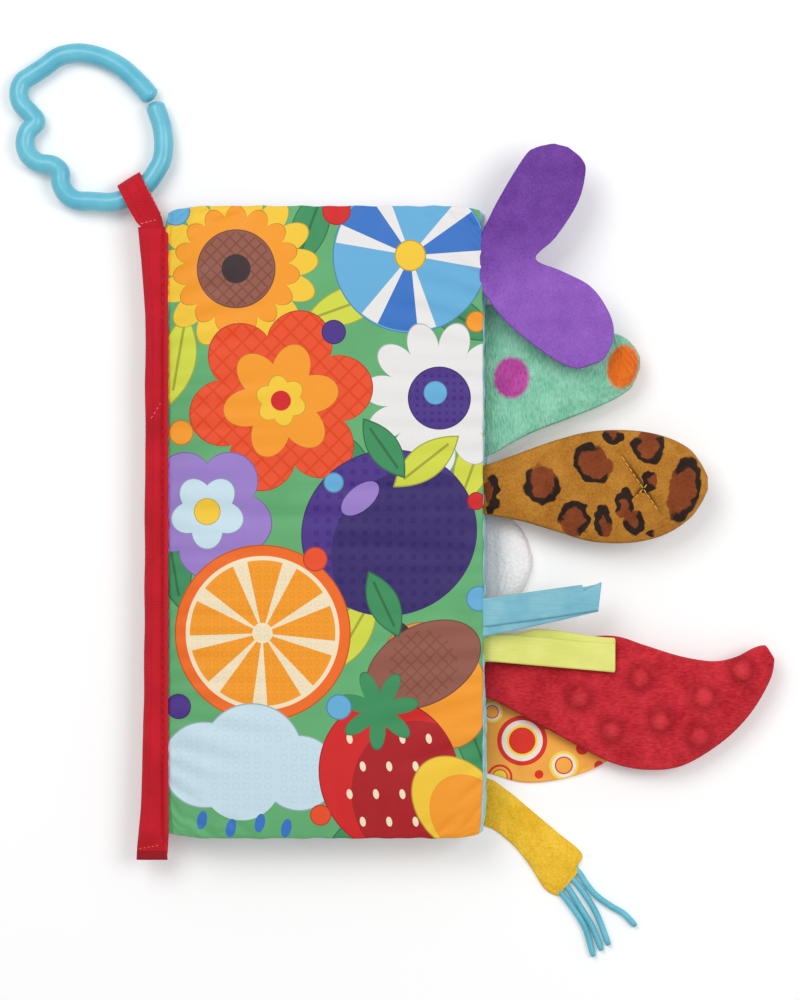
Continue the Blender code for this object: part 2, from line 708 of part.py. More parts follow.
def make_ribbons(pivots):
    teal = page_edge_pivot("teal_ribbon", TEAL_LEAF, TEAL_ROOT_SHARE, pivots)
    make_ribbon("teal_ribbon", TEAL_LEAF, TEAL_ROOT_SHARE, TEAL_REACH, TEAL_RISE,
                TEAL_SPREAD, teal, TEAL)
    lime = page_edge_pivot("lime_ribbon", LIME_LEAF, LIME_ROOT_SHARE, pivots)
    make_ribbon("lime_ribbon", LIME_LEAF, LIME_ROOT_SHARE, LIME_REACH, LIME_RISE,
                LIME_SPREAD, lime, LIME)


def build_book():
    root = new_pivot("book_base", (0, 0, 0))
    pivots = {LEAF_NAMES[0]: root}
    for number, name in enumerate(LEAF_NAMES):
        if number:
            spot = (HINGE_X, 0, hinge_level(number) + SEAM_HALF)
            pivots[name] = new_pivot(name + "_hinge", spot, root)
        make_leaf(number, pivots[name])
        make_seam_strip(number, root)
    make_spine(root)
    make_tails(pivots)
    make_ribbons(pivots)


clear_scene()
BOOK = new_collection(COLLECTION_NAME)
PRINT = material("printed_satin", (0.13, 0.42, 0.17), 0.55)
WADDING = material("wadding", (0.86, 0.86, 0.84), 0.95)
FILM_CLEAR = material("crinkle_film", (0.78, 0.80, 0.82), 0.25)
RED_TAPE = material("red_tape", (0.57, 0.01, 0.02), 0.7)
RING_PLASTIC = material("ring_plastic", (0.16, 0.53, 0.72), 0.35)
PURPLE = material("purple_fleece", (0.17, 0.06, 0.35), 0.9)
MINT = material("mint_plush", (0.20, 0.54, 0.36), 0.95)
OCHRE = material("leopard_plush", (0.56, 0.31, 0.05), 0.9)
WHITE = material("white_plush", (0.75, 0.73, 0.73), 0.95)
RED_PLUSH = material("red_plush", (0.50, 0.02, 0.04), 0.9)
ORANGE = material("circle_satin", (0.90, 0.38, 0.06), 0.5)
YELLOW = material("yellow_fleece", (0.70, 0.40, 0.02), 0.9)
TEAL = material("teal_ribbon", (0.12, 0.42, 0.55), 0.45)
LIME = material("lime_ribbon", (0.67, 0.70, 0.21), 0.5)
TEAL_CORD = material("teal_cord", (0.14, 0.48, 0.58), 0.6)
build_book()
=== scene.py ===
"""Looks of the crinkle cloth book: printed padded leaves, plush tails, ribbons,
fringe cords, tape binding and link ring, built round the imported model.

Frame: X runs from the spine to the free page edges, Y up the page and Z out of
the front cover, in metres. Prints and finishes are laid out in millimetres, in
the same frame, on the rest places that every mesh carries.
"""
import math

import bpy
import numpy as np
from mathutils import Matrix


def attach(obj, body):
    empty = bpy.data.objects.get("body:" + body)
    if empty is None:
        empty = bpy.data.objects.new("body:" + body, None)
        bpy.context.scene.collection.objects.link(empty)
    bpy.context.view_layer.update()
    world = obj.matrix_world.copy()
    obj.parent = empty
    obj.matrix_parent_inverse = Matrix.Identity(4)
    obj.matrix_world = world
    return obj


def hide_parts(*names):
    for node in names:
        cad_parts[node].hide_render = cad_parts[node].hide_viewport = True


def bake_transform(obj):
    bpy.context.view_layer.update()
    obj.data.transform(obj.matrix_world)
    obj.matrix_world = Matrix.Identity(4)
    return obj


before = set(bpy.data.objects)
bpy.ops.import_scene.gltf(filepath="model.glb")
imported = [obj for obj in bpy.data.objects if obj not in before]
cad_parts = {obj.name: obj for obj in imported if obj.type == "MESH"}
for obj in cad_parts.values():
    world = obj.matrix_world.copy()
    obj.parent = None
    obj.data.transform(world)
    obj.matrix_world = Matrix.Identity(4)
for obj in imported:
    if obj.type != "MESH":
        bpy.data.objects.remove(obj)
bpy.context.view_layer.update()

# Camera, straight above the book
VIEW_X = 0.0279
VIEW_Y = 0.0084
VIEW_HEIGHT = 0.380
VIEW_LEVEL = 0.018
CAMERA_RISE = 1.500
SENSOR = 36.0

# Leaves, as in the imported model
LEAF_NAMES = ("back_cover", "leaf_3", "leaf_2", "front_cover")
LEAF_BODIES = ("book_base", "leaf_3", "leaf_2", "front_cover")
LEAF_WIDTH = 0.1194
LEAF_STAGGER = 0.0007
LEAF_HEIGHT = 0.2400
LEAF_THICKNESS = 0.0056
LEAF_PITCH = 0.0060
SEAM_HALF = 0.00065
CORNER_PULL = 0.0016
SPINE_REACH = 0.0220
SPINE_HEIGHT = 0.0118
HINGE_GAP = 0.0003
HINGE_PITCH = 0.0035
NECK = 0.0015
SEAM_STRIP = 0.0006
SEAM_STRIP_PITCH = 0.0013
SEAM_STRIP_DEPTH = 0.0064
SEAM_STRIP_INSET = 0.0010
TAPE = 0.0007
LIP_X = -0.0600
LIP_RISE = 0.0031
GROOVE_X = -0.0623
STITCH_PITCH = 0.0034
WADDING_FROM = 30
BINDING_WIDTH = 0.0084
BINDING_BELOW = 0.0088
BINDING_SHORT = 0.0076
SPINE_X = -LEAF_WIDTH / 2
HINGE_X = SPINE_X - HINGE_GAP
TAPE_RIGHT = HINGE_X - HINGE_GAP - NECK
TOP_Y = LEAF_HEIGHT / 2
CROWN_HALF = LEAF_THICKNESS / 2 - SEAM_HALF

# Hanging loop and link ring
LOOP_TAPE_WIDTH = 0.0100
LOOP_REACH = 0.0152
LOOP_BAR = 0.0030
LOOP_LEAN = math.radians(27)
WIRE_LEAN = math.radians(32)
LOOP_RADIUS = 0.00555
LOOP_TURN = math.radians(110)
LOOP_SHIFT = 0.0004
RING_WIDTH = 0.0630
RING_TIP = 0.0006
RING_WIRE = 0.0074
RING_POINT_SHARES = (
    (0.370, 0.180), (0.298, 0.266), (0.189, 0.367), (0.070, 0.430),
    (-0.065, 0.460), (-0.192, 0.439), (-0.285, 0.375), (-0.361, 0.325),
    (-0.420, 0.283), (-0.442, 0.215), (-0.424, 0.147), (-0.369, 0.088),
    (-0.336, 0.037), (-0.386, -0.022), (-0.403, -0.098), (-0.378, -0.166),
    (-0.319, -0.212), (-0.234, -0.225), (-0.188, -0.267), (-0.184, -0.335),
    (-0.149, -0.402), (-0.090, -0.440), (0.002, -0.446), (0.120, -0.452),
    (0.205, -0.431), (0.270, -0.392), (0.340, -0.342), (0.400, -0.258),
    (0.434, -0.183), (0.442, -0.090), (0.430, 0.012), (0.400, 0.105),
    (0.384, 0.150),
)
RING_CARRIED_POINT = 25

# Fringe cords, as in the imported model
CORD = 0.0024
CORD_HEIGHT = 0.0014
CORD_SEWN = 0.0012
CORD_ROUTES = (
    ((0.0962, -0.1334), (0.0998, -0.1393), (0.1039, -0.1439),
     (0.1094, -0.1478), (0.1140, -0.1505), (0.1186, -0.1553)),
    ((0.0938, -0.1361), (0.0992, -0.1433), (0.1037, -0.1509), (0.1083, -0.1626)),
    ((0.0914, -0.1387), (0.0967, -0.1469), (0.1018, -0.1554), (0.1056, -0.1646)),
    ((0.0890, -0.1412), (0.0946, -0.1485), (0.0992, -0.1561), (0.1025, -0.1670)),
)

# Tails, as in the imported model: the leaf's number, the root's place up the page,
# length, width, front and back fullness, and the rows of lower and upper edges
TAIL_ROWS = {
    "purple_tail": (3, 0.1011, 0.0486, 0.0859, (0.0011, 0.0009), (
        ((0.50, 0.49), (0.69, 0.463)), ((0.40, 0.475), (0.763, 0.425)),
        ((0.32, 0.44), (0.79, 0.37)),
        ((0.145, 0.28), (0.73, 0.235)), ((0.03, 0.146), (0.56, 0.084)),
        ((0.0, 0.0), (0.40, -0.013)), ((0.0, -0.14), (0.61, -0.07)),
        ((0.145, -0.277), (0.836, -0.14)), ((0.40, -0.40), (0.98, -0.26)),
        ((0.56, -0.462), (1.01, -0.36)), ((0.69, -0.495), (0.945, -0.447)))),
    "green_tail": (1, 0.0540, 0.0583, 0.0581, (0.0040, 0.0036), (
        ((0.0, -0.50), (0.0, 0.50)), ((0.27, -0.35), (0.27, 0.48)),
        ((0.55, -0.24), (0.55, 0.42)), ((0.77, -0.15), (0.76, 0.33)),
        ((0.92, -0.065), (0.885, 0.29)), ((0.966, 0.0), (0.952, 0.235)),
        ((0.99, 0.06), (0.99, 0.175)))),
    "leopard_tail": (2, 0.01224, 0.0844, 0.0433, (0.0050, 0.0046), (
        ((0.0, -0.21), (0.0, 0.21)), ((0.16, -0.27), (0.16, 0.325)),
        ((0.32, -0.36), (0.32, 0.435)), ((0.48, -0.45), (0.48, 0.51)),
        ((0.655, -0.46), (0.655, 0.52)), ((0.80, -0.395), (0.80, 0.47)),
        ((0.91, -0.265), (0.91, 0.37)), ((0.965, -0.135), (0.965, 0.245)),
        ((0.992, -0.035), (0.992, 0.15)))),
    "white_tail": (0, -0.01476, 0.0163, 0.0372, (0.0045, 0.0), (
        ((0.0, -0.50), (0.0, 0.50)), ((0.25, -0.48), (0.25, 0.48)),
        ((0.50, -0.43), (0.50, 0.43)), ((0.74, -0.335), (0.74, 0.325)),
        ((0.90, -0.215), (0.90, 0.205)), ((0.97, -0.11), (0.97, 0.10)))),
    "red_tail": (1, -0.0585, 0.1096, 0.0509, (0.0056, 0.0030), (
        ((0.0, -0.16), (0.0, 0.16)), ((0.16, -0.34), (0.16, 0.22)),
        ((0.30, -0.51), (0.30, 0.27)), ((0.44, -0.66), (0.44, 0.29)),
        ((0.57, -0.71), (0.55, 0.22)), ((0.69, -0.67), (0.67, 0.14)),
        ((0.825, -0.49), (0.785, 0.10)), ((0.92, -0.28), (0.865, 0.13)),
        ((0.985, -0.04), (0.93, 0.20)), ((1.0, 0.10), (0.966, 0.22)))),
    "orange_tail": (0, -0.08088, 0.0496, 0.0361, (0.0022, 0.0), (
        ((0.0, -0.43), (0.0, 0.47)), ((0.26, -0.53), (0.26, 0.47)),
        ((0.53, -0.505), (0.53, 0.37)), ((0.79, -0.40), (0.78, 0.18)),
        ((1.0, -0.23), (0.98, -0.03)))),
    "yellow_tail": (0, -0.10716, 0.0355, 0.0448, (0.0022, 0.0), (
        ((0.0, -0.21), (0.0, 0.20)), ((0.16, -0.30), (0.24, 0.06)),
        ((0.31, -0.41), (0.495, -0.11)), ((0.465, -0.57), (0.75, -0.28)),
        ((0.60, -0.74), (1.0, -0.45)), ((0.70, -0.80), (0.96, -0.56)))),
}
ROOT_GAP = 0.0003
FLOOR_CLEAR = 0.00003
BED_GAP = 0.00015
SWELL_PEAK_SHARE = 0.45
SWELL_END_POWER = 2.5
SWELL_SHARPNESS = 0.6
END_ROUND = (0.55, 0.09)
YELLOW_END = (0.88, 0.12)
ROOT_TUCK = 0.0016
ROOT_EASE = 0.0022

# Relief of single tails, in metres, and their prints, in millimetres
RIDGE_PITCH = 0.00175
RIDGE_DEPTH = 0.00034
QUILT_DEPTH = 0.0019
BUMP_RADIUS = 0.0046
BUMP_HEIGHT = 0.0018
RED_BUMPS = ((96.52, -67.108), (119.7, -59.66), (143.906, -66.728), (127.224, -76.0),
             (158.65, -56.62), (108.68, -79.8), (142.12, -82.08))
# a rosette's place, half width, half height, turn, and where its ring is open
LEOPARD_SPOTS = (
    (63.2, 11.2, 3.0, 7.2, 0, 180), (81.8, 14.6, 6.4, 8.2, 12, 75),
    (101.6, 22.0, 8.6, 6.6, -38, 20), (109.0, 32.4, 4.4, 2.9, -8, 90),
    (122.4, 28.8, 6.2, 7.0, 4, 92), (123.2, 15.6, 3.2, 4.0, -20, 10),
    (135.6, 12.4, 6.4, 12.6, -12, 190), (94.4, 0.8, 5.8, 7.0, 14, 235),
    (105.4, 0.4, 3.3, 7.0, 8, 300), (113.0, 7.2, 3.6, 6.2, -14, 262),
    (117.0, 0.2, 4.2, 4.8, 20, 120), (123.4, -4.4, 1.8, 1.3, 20, 0),
)
# creases of the quilted cross: middle, half length and direction
CREASES = ((119.3, 14.5, 16.0, -56), (119.9, 12.0, 4.8, 48))
TUFT = (119.6, 13.0)
# circles of the orange print: place, size and colour scheme
CIRCLES = (
    (75.0, -84.0, 9.6, 0), (91.0, -93.5, 5.6, 2), (66.5, -98.0, 4.8, 1),
    (84.5, -76.0, 3.6, 1), (98.0, -87.0, 2.4, 3), (81.5, -97.0, 1.7, 3),
    (63.5, -73.0, 4.2, 2), (104.5, -93.5, 1.8, 3),
)

# Meshes: a bag's front and back look to opposite sides
SIDES = (1, -1)
STITCH_SIDES = 6
# a stitch's places along it, its width there and how high it lies
STITCH_SHARES = ((0.0, 0.25, -0.9), (0.12, 0.75, -0.3), (0.35, 1.0, 0.35),
                 (0.65, 1.0, 0.35), (0.88, 0.75, -0.3), (1.0, 0.25, -0.9))

# Cloth simulation of the padded pieces, at a scale that suits the solver
CLOTH_SCALE = 20.0
CLOTH_FRAMES = 18
CLOTH_STIFFNESS = 12.0
CLOTH_SLACK = 0.05
CLOTH_SETTINGS = {
    "quality": 4, "mass": 0.3, "tension_stiffness": CLOTH_STIFFNESS,
    "compression_stiffness": CLOTH_STIFFNESS, "shear_stiffness": CLOTH_STIFFNESS / 2,
    "bending_stiffness": 0.15, "use_pressure": True, "uniform_pressure_force": 3.0,
    "vertex_group_mass": "seam", "shrink_min": -CLOTH_SLACK}
SWELLING_PASSES = 10


# Mesh helpers

def ripples(x, y, wavelength, seed, waves=14):
    """A smooth random field over the page plane, mostly between -1 and 1."""
    rng = np.random.default_rng(seed)
    angles = rng.uniform(0, 2 * math.pi, waves)
    rates = 2 * math.pi / wavelength * rng.uniform(0.7, 1.4, waves)
    phases = rng.uniform(0, 2 * math.pi, waves)
    field = np.zeros(np.broadcast(x, y).shape)
    for angle, rate, phase in zip(angles, rates, phases):
        field += np.sin((x * math.cos(angle) + y * math.sin(angle)) * rate + phase)
    return field * math.sqrt(2 / waves) * 0.6


def ramp(value, start, end):
    """0 before start, 1 after end, and smooth between them."""
    share = np.clip((value - start) / (end - start), 0, 1)
    return share * share * (3 - 2 * share)


def curve_at(points, shares):
    """Points at shares of a Catmull-Rom curve through the given points."""
    points = np.asarray(points, float)
    spans = len(points) - 1
    place = np.clip(shares, 0, 1) * spans
    index = np.minimum(place.astype(int), spans - 1)
    t = (place - index)[..., None]
    ends = np.vstack([2 * points[:1] - points[1:2], points, 2 * points[-1:] - points[-2:-1]])
    before, start, end, after = (ends[index + step] for step in range(4))
    pull = (end - before) * t + (2 * before - 5 * start + 4 * end - after) * t * t
    bend = (3 * start - before - 3 * end + after) * t ** 3
    return start + (pull + bend) / 2


def reach_along(path):
    """How far along a path each of its points lies."""
    steps = np.linalg.norm(np.diff(path, axis=0), axis=1)
    return np.concatenate([[0], np.cumsum(steps)])


def mesh_object(name, points, faces, materials, face_slots=None):
    """A smooth mesh that carries its rest places, in millimetres, for its finish."""
    mesh = bpy.data.meshes.new(name)
    mesh.from_pydata(np.asarray(points).tolist(), [], [list(map(int, f)) for f in faces])
    for mat in materials:
        mesh.materials.append(mat)
    if face_slots is not None:
        mesh.polygons.foreach_set("material_index", np.asarray(face_slots, np.int32))
    rest = mesh.attributes.new("rest_mm", "FLOAT_VECTOR", "POINT")
    rest.data.foreach_set("vector", (np.asarray(points, np.float32) * 1000).ravel())
    mesh.shade_smooth()
    obj = bpy.data.objects.new(name, mesh)
    bpy.context.scene.collection.objects.link(obj)
    return obj


def place(piece, slot, nodes=(), body=None):
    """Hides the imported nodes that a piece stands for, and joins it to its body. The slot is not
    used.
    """
    if nodes:
        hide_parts(*nodes)
    if body:
        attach(piece, body)


def grid_faces(rows, columns):
    """Quads of a grid of points, counter-clockwise from the front."""
    index = np.arange(rows * columns).reshape(rows, columns)
    corners = (index[:-1, :-1], index[1:, :-1], index[1:, 1:], index[:-1, 1:])
    return np.stack([corner.ravel() for corner in corners], 1)


def shell_object(name, faces, materials, rim_push=0.0, lowest=FLOOR_CLEAR):
    """A closed skin: front and back grids of points, joined round the edge.

    Whatever would dip into the floor is pressed flat just above it.
    """
    rows, columns = faces[0].shape[:2]
    count = rows * columns
    index = np.arange(count).reshape(rows, columns)
    loop = np.concatenate([index[:-1, 0], index[-1, :-1], index[:0:-1, -1], index[0, :0:-1]])
    front, back = (grid.reshape(-1, 3) for grid in faces)
    rim = (front[loop] + back[loop]) / 2
    if rim_push:
        along = np.roll(rim, -1, 0) - np.roll(rim, 1, 0)
        out = np.stack([along[:, 1], -along[:, 0], np.zeros(len(rim))], 1)
        out /= np.maximum(np.linalg.norm(out, axis=1, keepdims=True), 1e-9)
        rim = rim + out * rim_push
    rim_index = 2 * count + np.arange(len(loop))
    after = np.roll(loop, -1)
    rim_after = np.roll(rim_index, -1)
    front_faces = grid_faces(rows, columns)
    quads = np.concatenate([
        front_faces, np.stack([rim_index, rim_after, after, loop], 1),
        front_faces[:, ::-1] + count,
        np.stack([loop + count, after + count, rim_after, rim_index], 1)])
    slots = np.zeros(len(quads), int)
    if len(materials) > 1:
        slots[len(quads) // 2:] = 1
    points = np.concatenate([front, back, rim])
    points[:, 2] = np.maximum(points[:, 2], lowest)
    return mesh_object(name, points, quads, materials, slots)


def grid_normals(grid):
    """Unit normals of a grid of points, towards its front."""
    normal = np.cross(np.gradient(grid, axis=0), np.gradient(grid, axis=1))
    return normal / np.maximum(np.linalg.norm(normal, axis=2, keepdims=True), 1e-12)


def grid_height(grid):
    """A function that gives the height of a grid of points under a place."""
    points = grid.reshape(-1, 3)

    def height(x, y):
        far = (points[:, 0] - x) ** 2 + (points[:, 1] - y) ** 2
        near = np.argsort(far)[:4]
        weights = 1 / np.maximum(far[near], 1e-12)
        return float((points[near, 2] * weights).sum() / weights.sum())
    return height


def strip_object(name, middle, thickness, mat):
    """Tape or ribbon: a sheet of one thickness about a grid of middle points."""
    offset = grid_normals(middle) * thickness / 2
    return shell_object(name, (middle + offset, middle - offset), [mat])


def ring_faces(rings, sides, first=0):
    """Faces of a tube of so many rings of points, capped at both ends."""
    faces = []
    for near in range(first, first + (rings - 1) * sides, sides):
        for column in range(sides):
            after = (column + 1) % sides
            faces.append((near + column, near + after, near + sides + after,
                          near + sides + column))
    last = first + (rings - 1) * sides
    return faces + [tuple(range(first, first + sides))[::-1], tuple(range(last, last + sides))]


def tube_object(name, path, radii, mat, sides):
    """A round tube along a path of points, closed at both ends by its radii."""
    tangent = np.gradient(path, axis=0)
    tangent /= np.linalg.norm(tangent, axis=1, keepdims=True)
    side = np.cross(tangent, np.array([0, 0, 1.0]))
    side /= np.linalg.norm(side, axis=1, keepdims=True)
    rise = np.cross(side, tangent)
    angles = np.linspace(0, 2 * math.pi, sides, endpoint=False)
    rings = path[:, None] + radii[:, None, None] * (
        side[:, None] * np.cos(angles)[None, :, None]
        + rise[:, None] * np.sin(angles)[None, :, None])
    return mesh_object(name, rings.reshape(-1, 3), ring_faces(len(path), sides), [mat])


def stitch_row(name, path, stitch, mat, slot, body):
    """Thread stitches, end to end along a path; stitch is length, gap and thickness."""
    length, gap, thickness = stitch
    reach = reach_along(path)
    points = []
    faces = []
    for number in range(max(1, int(reach[-1] / (length + gap)))):
        faces += ring_faces(len(STITCH_SHARES), STITCH_SIDES, len(points))
        start = number * (length + gap) + gap / 2
        spots = [np.array([np.interp(start + share * length, reach, path[:, k])
                           for k in range(3)]) for share, _, _ in STITCH_SHARES]
        along = spots[-1] - spots[0]
        along /= np.linalg.norm(along)
        side = np.cross(along, (0, 0, 1.0))
        side /= max(np.linalg.norm(side), 1e-9)
        up = np.cross(side, along)
        for spot, (_, width, lift) in zip(spots, STITCH_SHARES):
            for corner in range(STITCH_SIDES):
                angle = 2 * math.pi * corner / STITCH_SIDES
                points.append(spot + up * (lift * thickness / 2)
                              + side * math.cos(angle) * width * thickness / 2
                              + up * math.sin(angle) * width * thickness / 2)
    place(mesh_object(name, points, faces, [mat]), slot, body=body)


# Cloth simulation

def resample(field, rows, columns):
    """A grid of values at other row and column counts, between the same borders."""
    places = np.linspace(0, field.shape[0] - 1, rows)
    low = np.minimum(places.astype(int), field.shape[0] - 2)
    share = (places - low).reshape((-1,) + (1,) * (field.ndim - 1))
    field = field[low] * (1 - share) + field[low + 1] * share
    if field.shape[1] == columns:
        return field
    return np.swapaxes(resample(np.swapaxes(field, 0, 1), columns, rows), 0, 1)


def smooth(field, passes):
    """A low-pass of a grid of values, by repeated averaging with its neighbours."""
    for _ in range(passes):
        for axis in (0, 1):
            field = np.moveaxis(field, axis, 0)
            wide = np.concatenate([field[:1], field, field[-1:]])
            field = np.moveaxis((wide[:-2] + 2 * field + wide[2:]) / 4, 0, axis)
    return field


def cloth_relief(faces, rows, columns, cap):
    """Relief of a sewn bag's faces: the bag is cut a little slack, its seam is pinned,
    and Blender's cloth inflates it. The wrinkles are kept and the overall swelling,
    which the grids already have, is taken out. Gives how far each point moves."""
    coarse = [resample(grid, rows, columns) for grid in faces]
    bag = shell_object("cloth_bag", [grid * CLOTH_SCALE for grid in coarse], [],
                       lowest=-math.inf)
    count = rows * columns
    border = np.ones((rows, columns), bool)
    border[1:-1, 1:-1] = False
    pinned = np.flatnonzero(border.ravel())
    pins = np.concatenate([pinned, pinned + count,
                           np.arange(2 * count, len(bag.data.vertices))])
    bag.vertex_groups.new(name="seam").add([int(i) for i in pins], 1.0, "REPLACE")
    cloth = bag.modifiers.new("cloth", "CLOTH")
    cloth.point_cache.frame_start = 1
    cloth.point_cache.frame_end = CLOTH_FRAMES
    for setting, value in CLOTH_SETTINGS.items():
        setattr(cloth.settings, setting, value)
    cloth.settings.effector_weights.gravity = 0
    cloth.collision_settings.use_collision = False
    scene = bpy.context.scene
    for number in range(1, CLOTH_FRAMES + 1):
        scene.frame_set(number)
    final = bag.evaluated_get(bpy.context.evaluated_depsgraph_get())
    places = np.empty(len(bag.data.vertices) * 3, np.float32)
    final.data.vertices.foreach_get("co", places)
    places = places.reshape(-1, 3).astype(float) / CLOTH_SCALE
    scene.frame_set(1)
    bpy.data.objects.remove(bag)
    reliefs = []
    for number, (grid, side) in enumerate(zip(coarse, SIDES)):
        moved = places[number * count:(number + 1) * count].reshape(grid.shape) - grid
        lift = (moved * grid_normals(grid)).sum(2) * side
        fine = resample(lift - smooth(lift, SWELLING_PASSES), *faces[0].shape[:2])
        reliefs.append(cap * np.tanh(fine / cap))
    return reliefs


# Material helpers

def linear(red, green, blue):
    """A colour of the screen, 0 to 255, as the linear numbers that shaders take."""
    def channel(value):
        value /= 255
        return value / 12.92 if value <= 0.04045 else ((value + 0.055) / 1.055) ** 2.4
    return (channel(red), channel(green), channel(blue), 1.0)


def darker(colour, share):
    return tuple(channel * share for channel in colour[:3]) + (1.0,)


class Finish:
    """One material's nodes, on the rest places of its mesh."""

    def __init__(self, name, roughness, sheen=0.0, sheen_tint=(1, 1, 1, 1), **more):
        self.material = bpy.data.materials.new(name)
        self.material.use_nodes = True
        self.tree = self.material.node_tree
        self.shader = self.tree.nodes["Principled BSDF"]
        settings = {"Roughness": roughness, "Sheen Weight": sheen, "Sheen Tint": sheen_tint,
                    "Sheen Roughness": 0.5, "Specular IOR Level": 0.3}
        settings.update((key.replace("_", " "), value) for key, value in more.items())
        for socket, value in settings.items():
            self.shader.inputs[socket].default_value = value
        self.rest = self.add("ShaderNodeAttribute", attribute_name="rest_mm").outputs["Vector"]
        apart = self.add("ShaderNodeSeparateXYZ", {"Vector": self.rest})
        self.x, self.y, _ = apart.outputs

    def fill(self, node, inputs):
        """Sets a node's sockets, or links them where they take another node's output."""
        for socket, value in inputs.items():
            if isinstance(value, bpy.types.NodeSocket):
                self.tree.links.new(value, node.inputs[socket])
            elif value is not None:
                node.inputs[socket].default_value = value
        return node

    def add(self, kind, inputs=None, **settings):
        node = self.tree.nodes.new(kind)
        for key, value in settings.items():
            setattr(node, key, value)
        return self.fill(node, inputs or {})

    def math(self, operation, *values):
        return self.add("ShaderNodeMath", dict(enumerate(values)), operation=operation).outputs[0]

    def weighted(self, *parts):
        """The sum of two fields, each times its weight."""
        return self.math("ADD", *(self.math("MULTIPLY", *part) for part in parts))

    def mix(self, mask, below, above):
        return self.add("ShaderNodeMix", {0: mask, 6: below, 7: above},
                        data_type="RGBA").outputs[2]

    def noise(self, size, detail=2.0, stretch=(1, 1, 1)):
        """Noise whose blotches are about size millimetres across."""
        spread = self.add("ShaderNodeMapping", {0: self.rest, 3: tuple(s / size for s in stretch)})
        return self.add("ShaderNodeTexNoise", {
            "Vector": spread.outputs[0], "Scale": 1.0, "Detail": detail,
            "Roughness": 0.5}).outputs["Fac"]

    def waves(self, direction, scale, distortion, detail, detail_scale=1.0):
        """Fine parallel ribs or threads."""
        return self.add("ShaderNodeTexWave", {
            "Vector": self.rest, "Scale": scale, "Distortion": distortion, "Detail": detail,
            "Detail Scale": detail_scale}, bands_direction=direction).outputs["Fac"]

    def between(self, value, low, high, to_low=0.0, to_high=1.0):
        return self.add("ShaderNodeMapRange", {
            0: value, 1: low, 2: high, 3: to_low, 4: to_high}, clamp=True).outputs[0]

    def unit(self, centre, size, turn=0.0, where=None):
        """Coordinates in which a motif of that place, half size and turn is a unit one."""
        x, y = where or (self.x, self.y)
        cos = math.cos(math.radians(turn))
        sin = math.sin(math.radians(turn))
        made = []
        for a, b in ((cos / size[0], sin / size[0]), (-sin / size[1], cos / size[1])):
            offset = -(a * centre[0] + b * centre[1])
            if a:
                offset = self.math("MULTIPLY_ADD", x, a, offset)
            made.append(self.math("MULTIPLY_ADD", y, b, offset) if b else offset)
        return made

    def square(self, spot):
        """The squared distance of a unit place from its centre."""
        across = self.math("MULTIPLY", spot[0], spot[0])
        return self.math("MULTIPLY_ADD", spot[1], spot[1], across)

    def far(self, spot):
        return self.math("SQRT", self.square(spot))

    def disc(self, centre, size, turn=0.0):
        return self.math("LESS_THAN", self.square(self.unit(centre, size, turn)), 1.0)

    def bump(self, height, strength, distance, below=None):
        return self.add("ShaderNodeBump", {"Height": height, "Strength": strength,
                                           "Distance": distance, "Normal": below}).outputs[0]

    def finish(self, colour, normal=None, roughness=None):
        self.fill(self.shader, {"Base Color": colour, "Normal": normal, "Roughness": roughness})
        return self.material


def plush(name, dark, light, pile=1.1, nap=(1, 1, 1), strength=0.8, sheen=0.25, paint=None):
    """Plush or fleece: mottled pile with a soft sheen, and a print laid on it if any."""
    dark, light = linear(*dark), linear(*light)
    fin = Finish(name, 0.95, sheen, light)
    grain = fin.noise(pile, 3.0, stretch=nap)
    clouds = fin.noise(pile * 9)
    shade = fin.between(fin.weighted((grain, 0.55), (clouds, 0.45)), 0.34, 0.66)
    colour = fin.mix(shade, dark, light)
    if paint:
        colour = paint(fin, colour, shade)
    fine = fin.noise(pile * 0.35, stretch=nap)
    normal = fin.bump(fine, strength * 0.6, 0.0004)
    return fin.finish(colour, fin.bump(grain, strength, 0.0008, normal))


def tape_finish(name, dark, light):
    """Woven tape: fine ribs across, a little darker where the weave dips, with a painted highlight
    on the lip past the stitch groove and painted shade at the foot where it folds under.
    """
    dark, light = linear(*dark), linear(*light)
    fin = Finish(name, 0.8, 0.1, light)
    ribs = fin.waves("Y", 0.55, 0.6, 2.0, 1.5)
    shade = fin.weighted((ribs, 0.25), (fin.noise(14), 0.75))
    # painted highlight: past the stitch groove the tape's lip takes its lightest colour, as if lit
    lip_highlight = fin.between(fin.x, GROOVE_X * 1000, GROOVE_X * 1000 + 0.8)
    shade = fin.math("MAXIMUM", fin.between(shade, 0.25, 0.75), lip_highlight)
    # painted shade: the tape's foot is darker where it folds under
    folded = fin.between(fin.y, -125.6, -124.9, 0.55, 0.0)
    colour = fin.mix(folded, fin.mix(shade, dark, light), linear(110, 4, 16))
    return fin.finish(colour, fin.bump(fin.math("ADD", ribs, fin.noise(0.7)), 0.35, 0.0003))


def satin_finish(name, dark, light):
    """Satin ribbon: smooth, with faint lengthwise threads and a soft gloss."""
    dark, light = linear(*dark), linear(*light)
    fin = Finish(name, 0.42, 0.2, light, Specular_IOR_Level=0.5)
    threads = fin.noise(0.5, stretch=(0.08, 1, 1))
    shade = fin.weighted((threads, 0.35), (fin.noise(9), 0.65))
    colour = fin.mix(fin.between(shade, 0.3, 0.7), dark, light)
    return fin.finish(colour, fin.bump(threads, 0.25, 0.0002))


# The prints

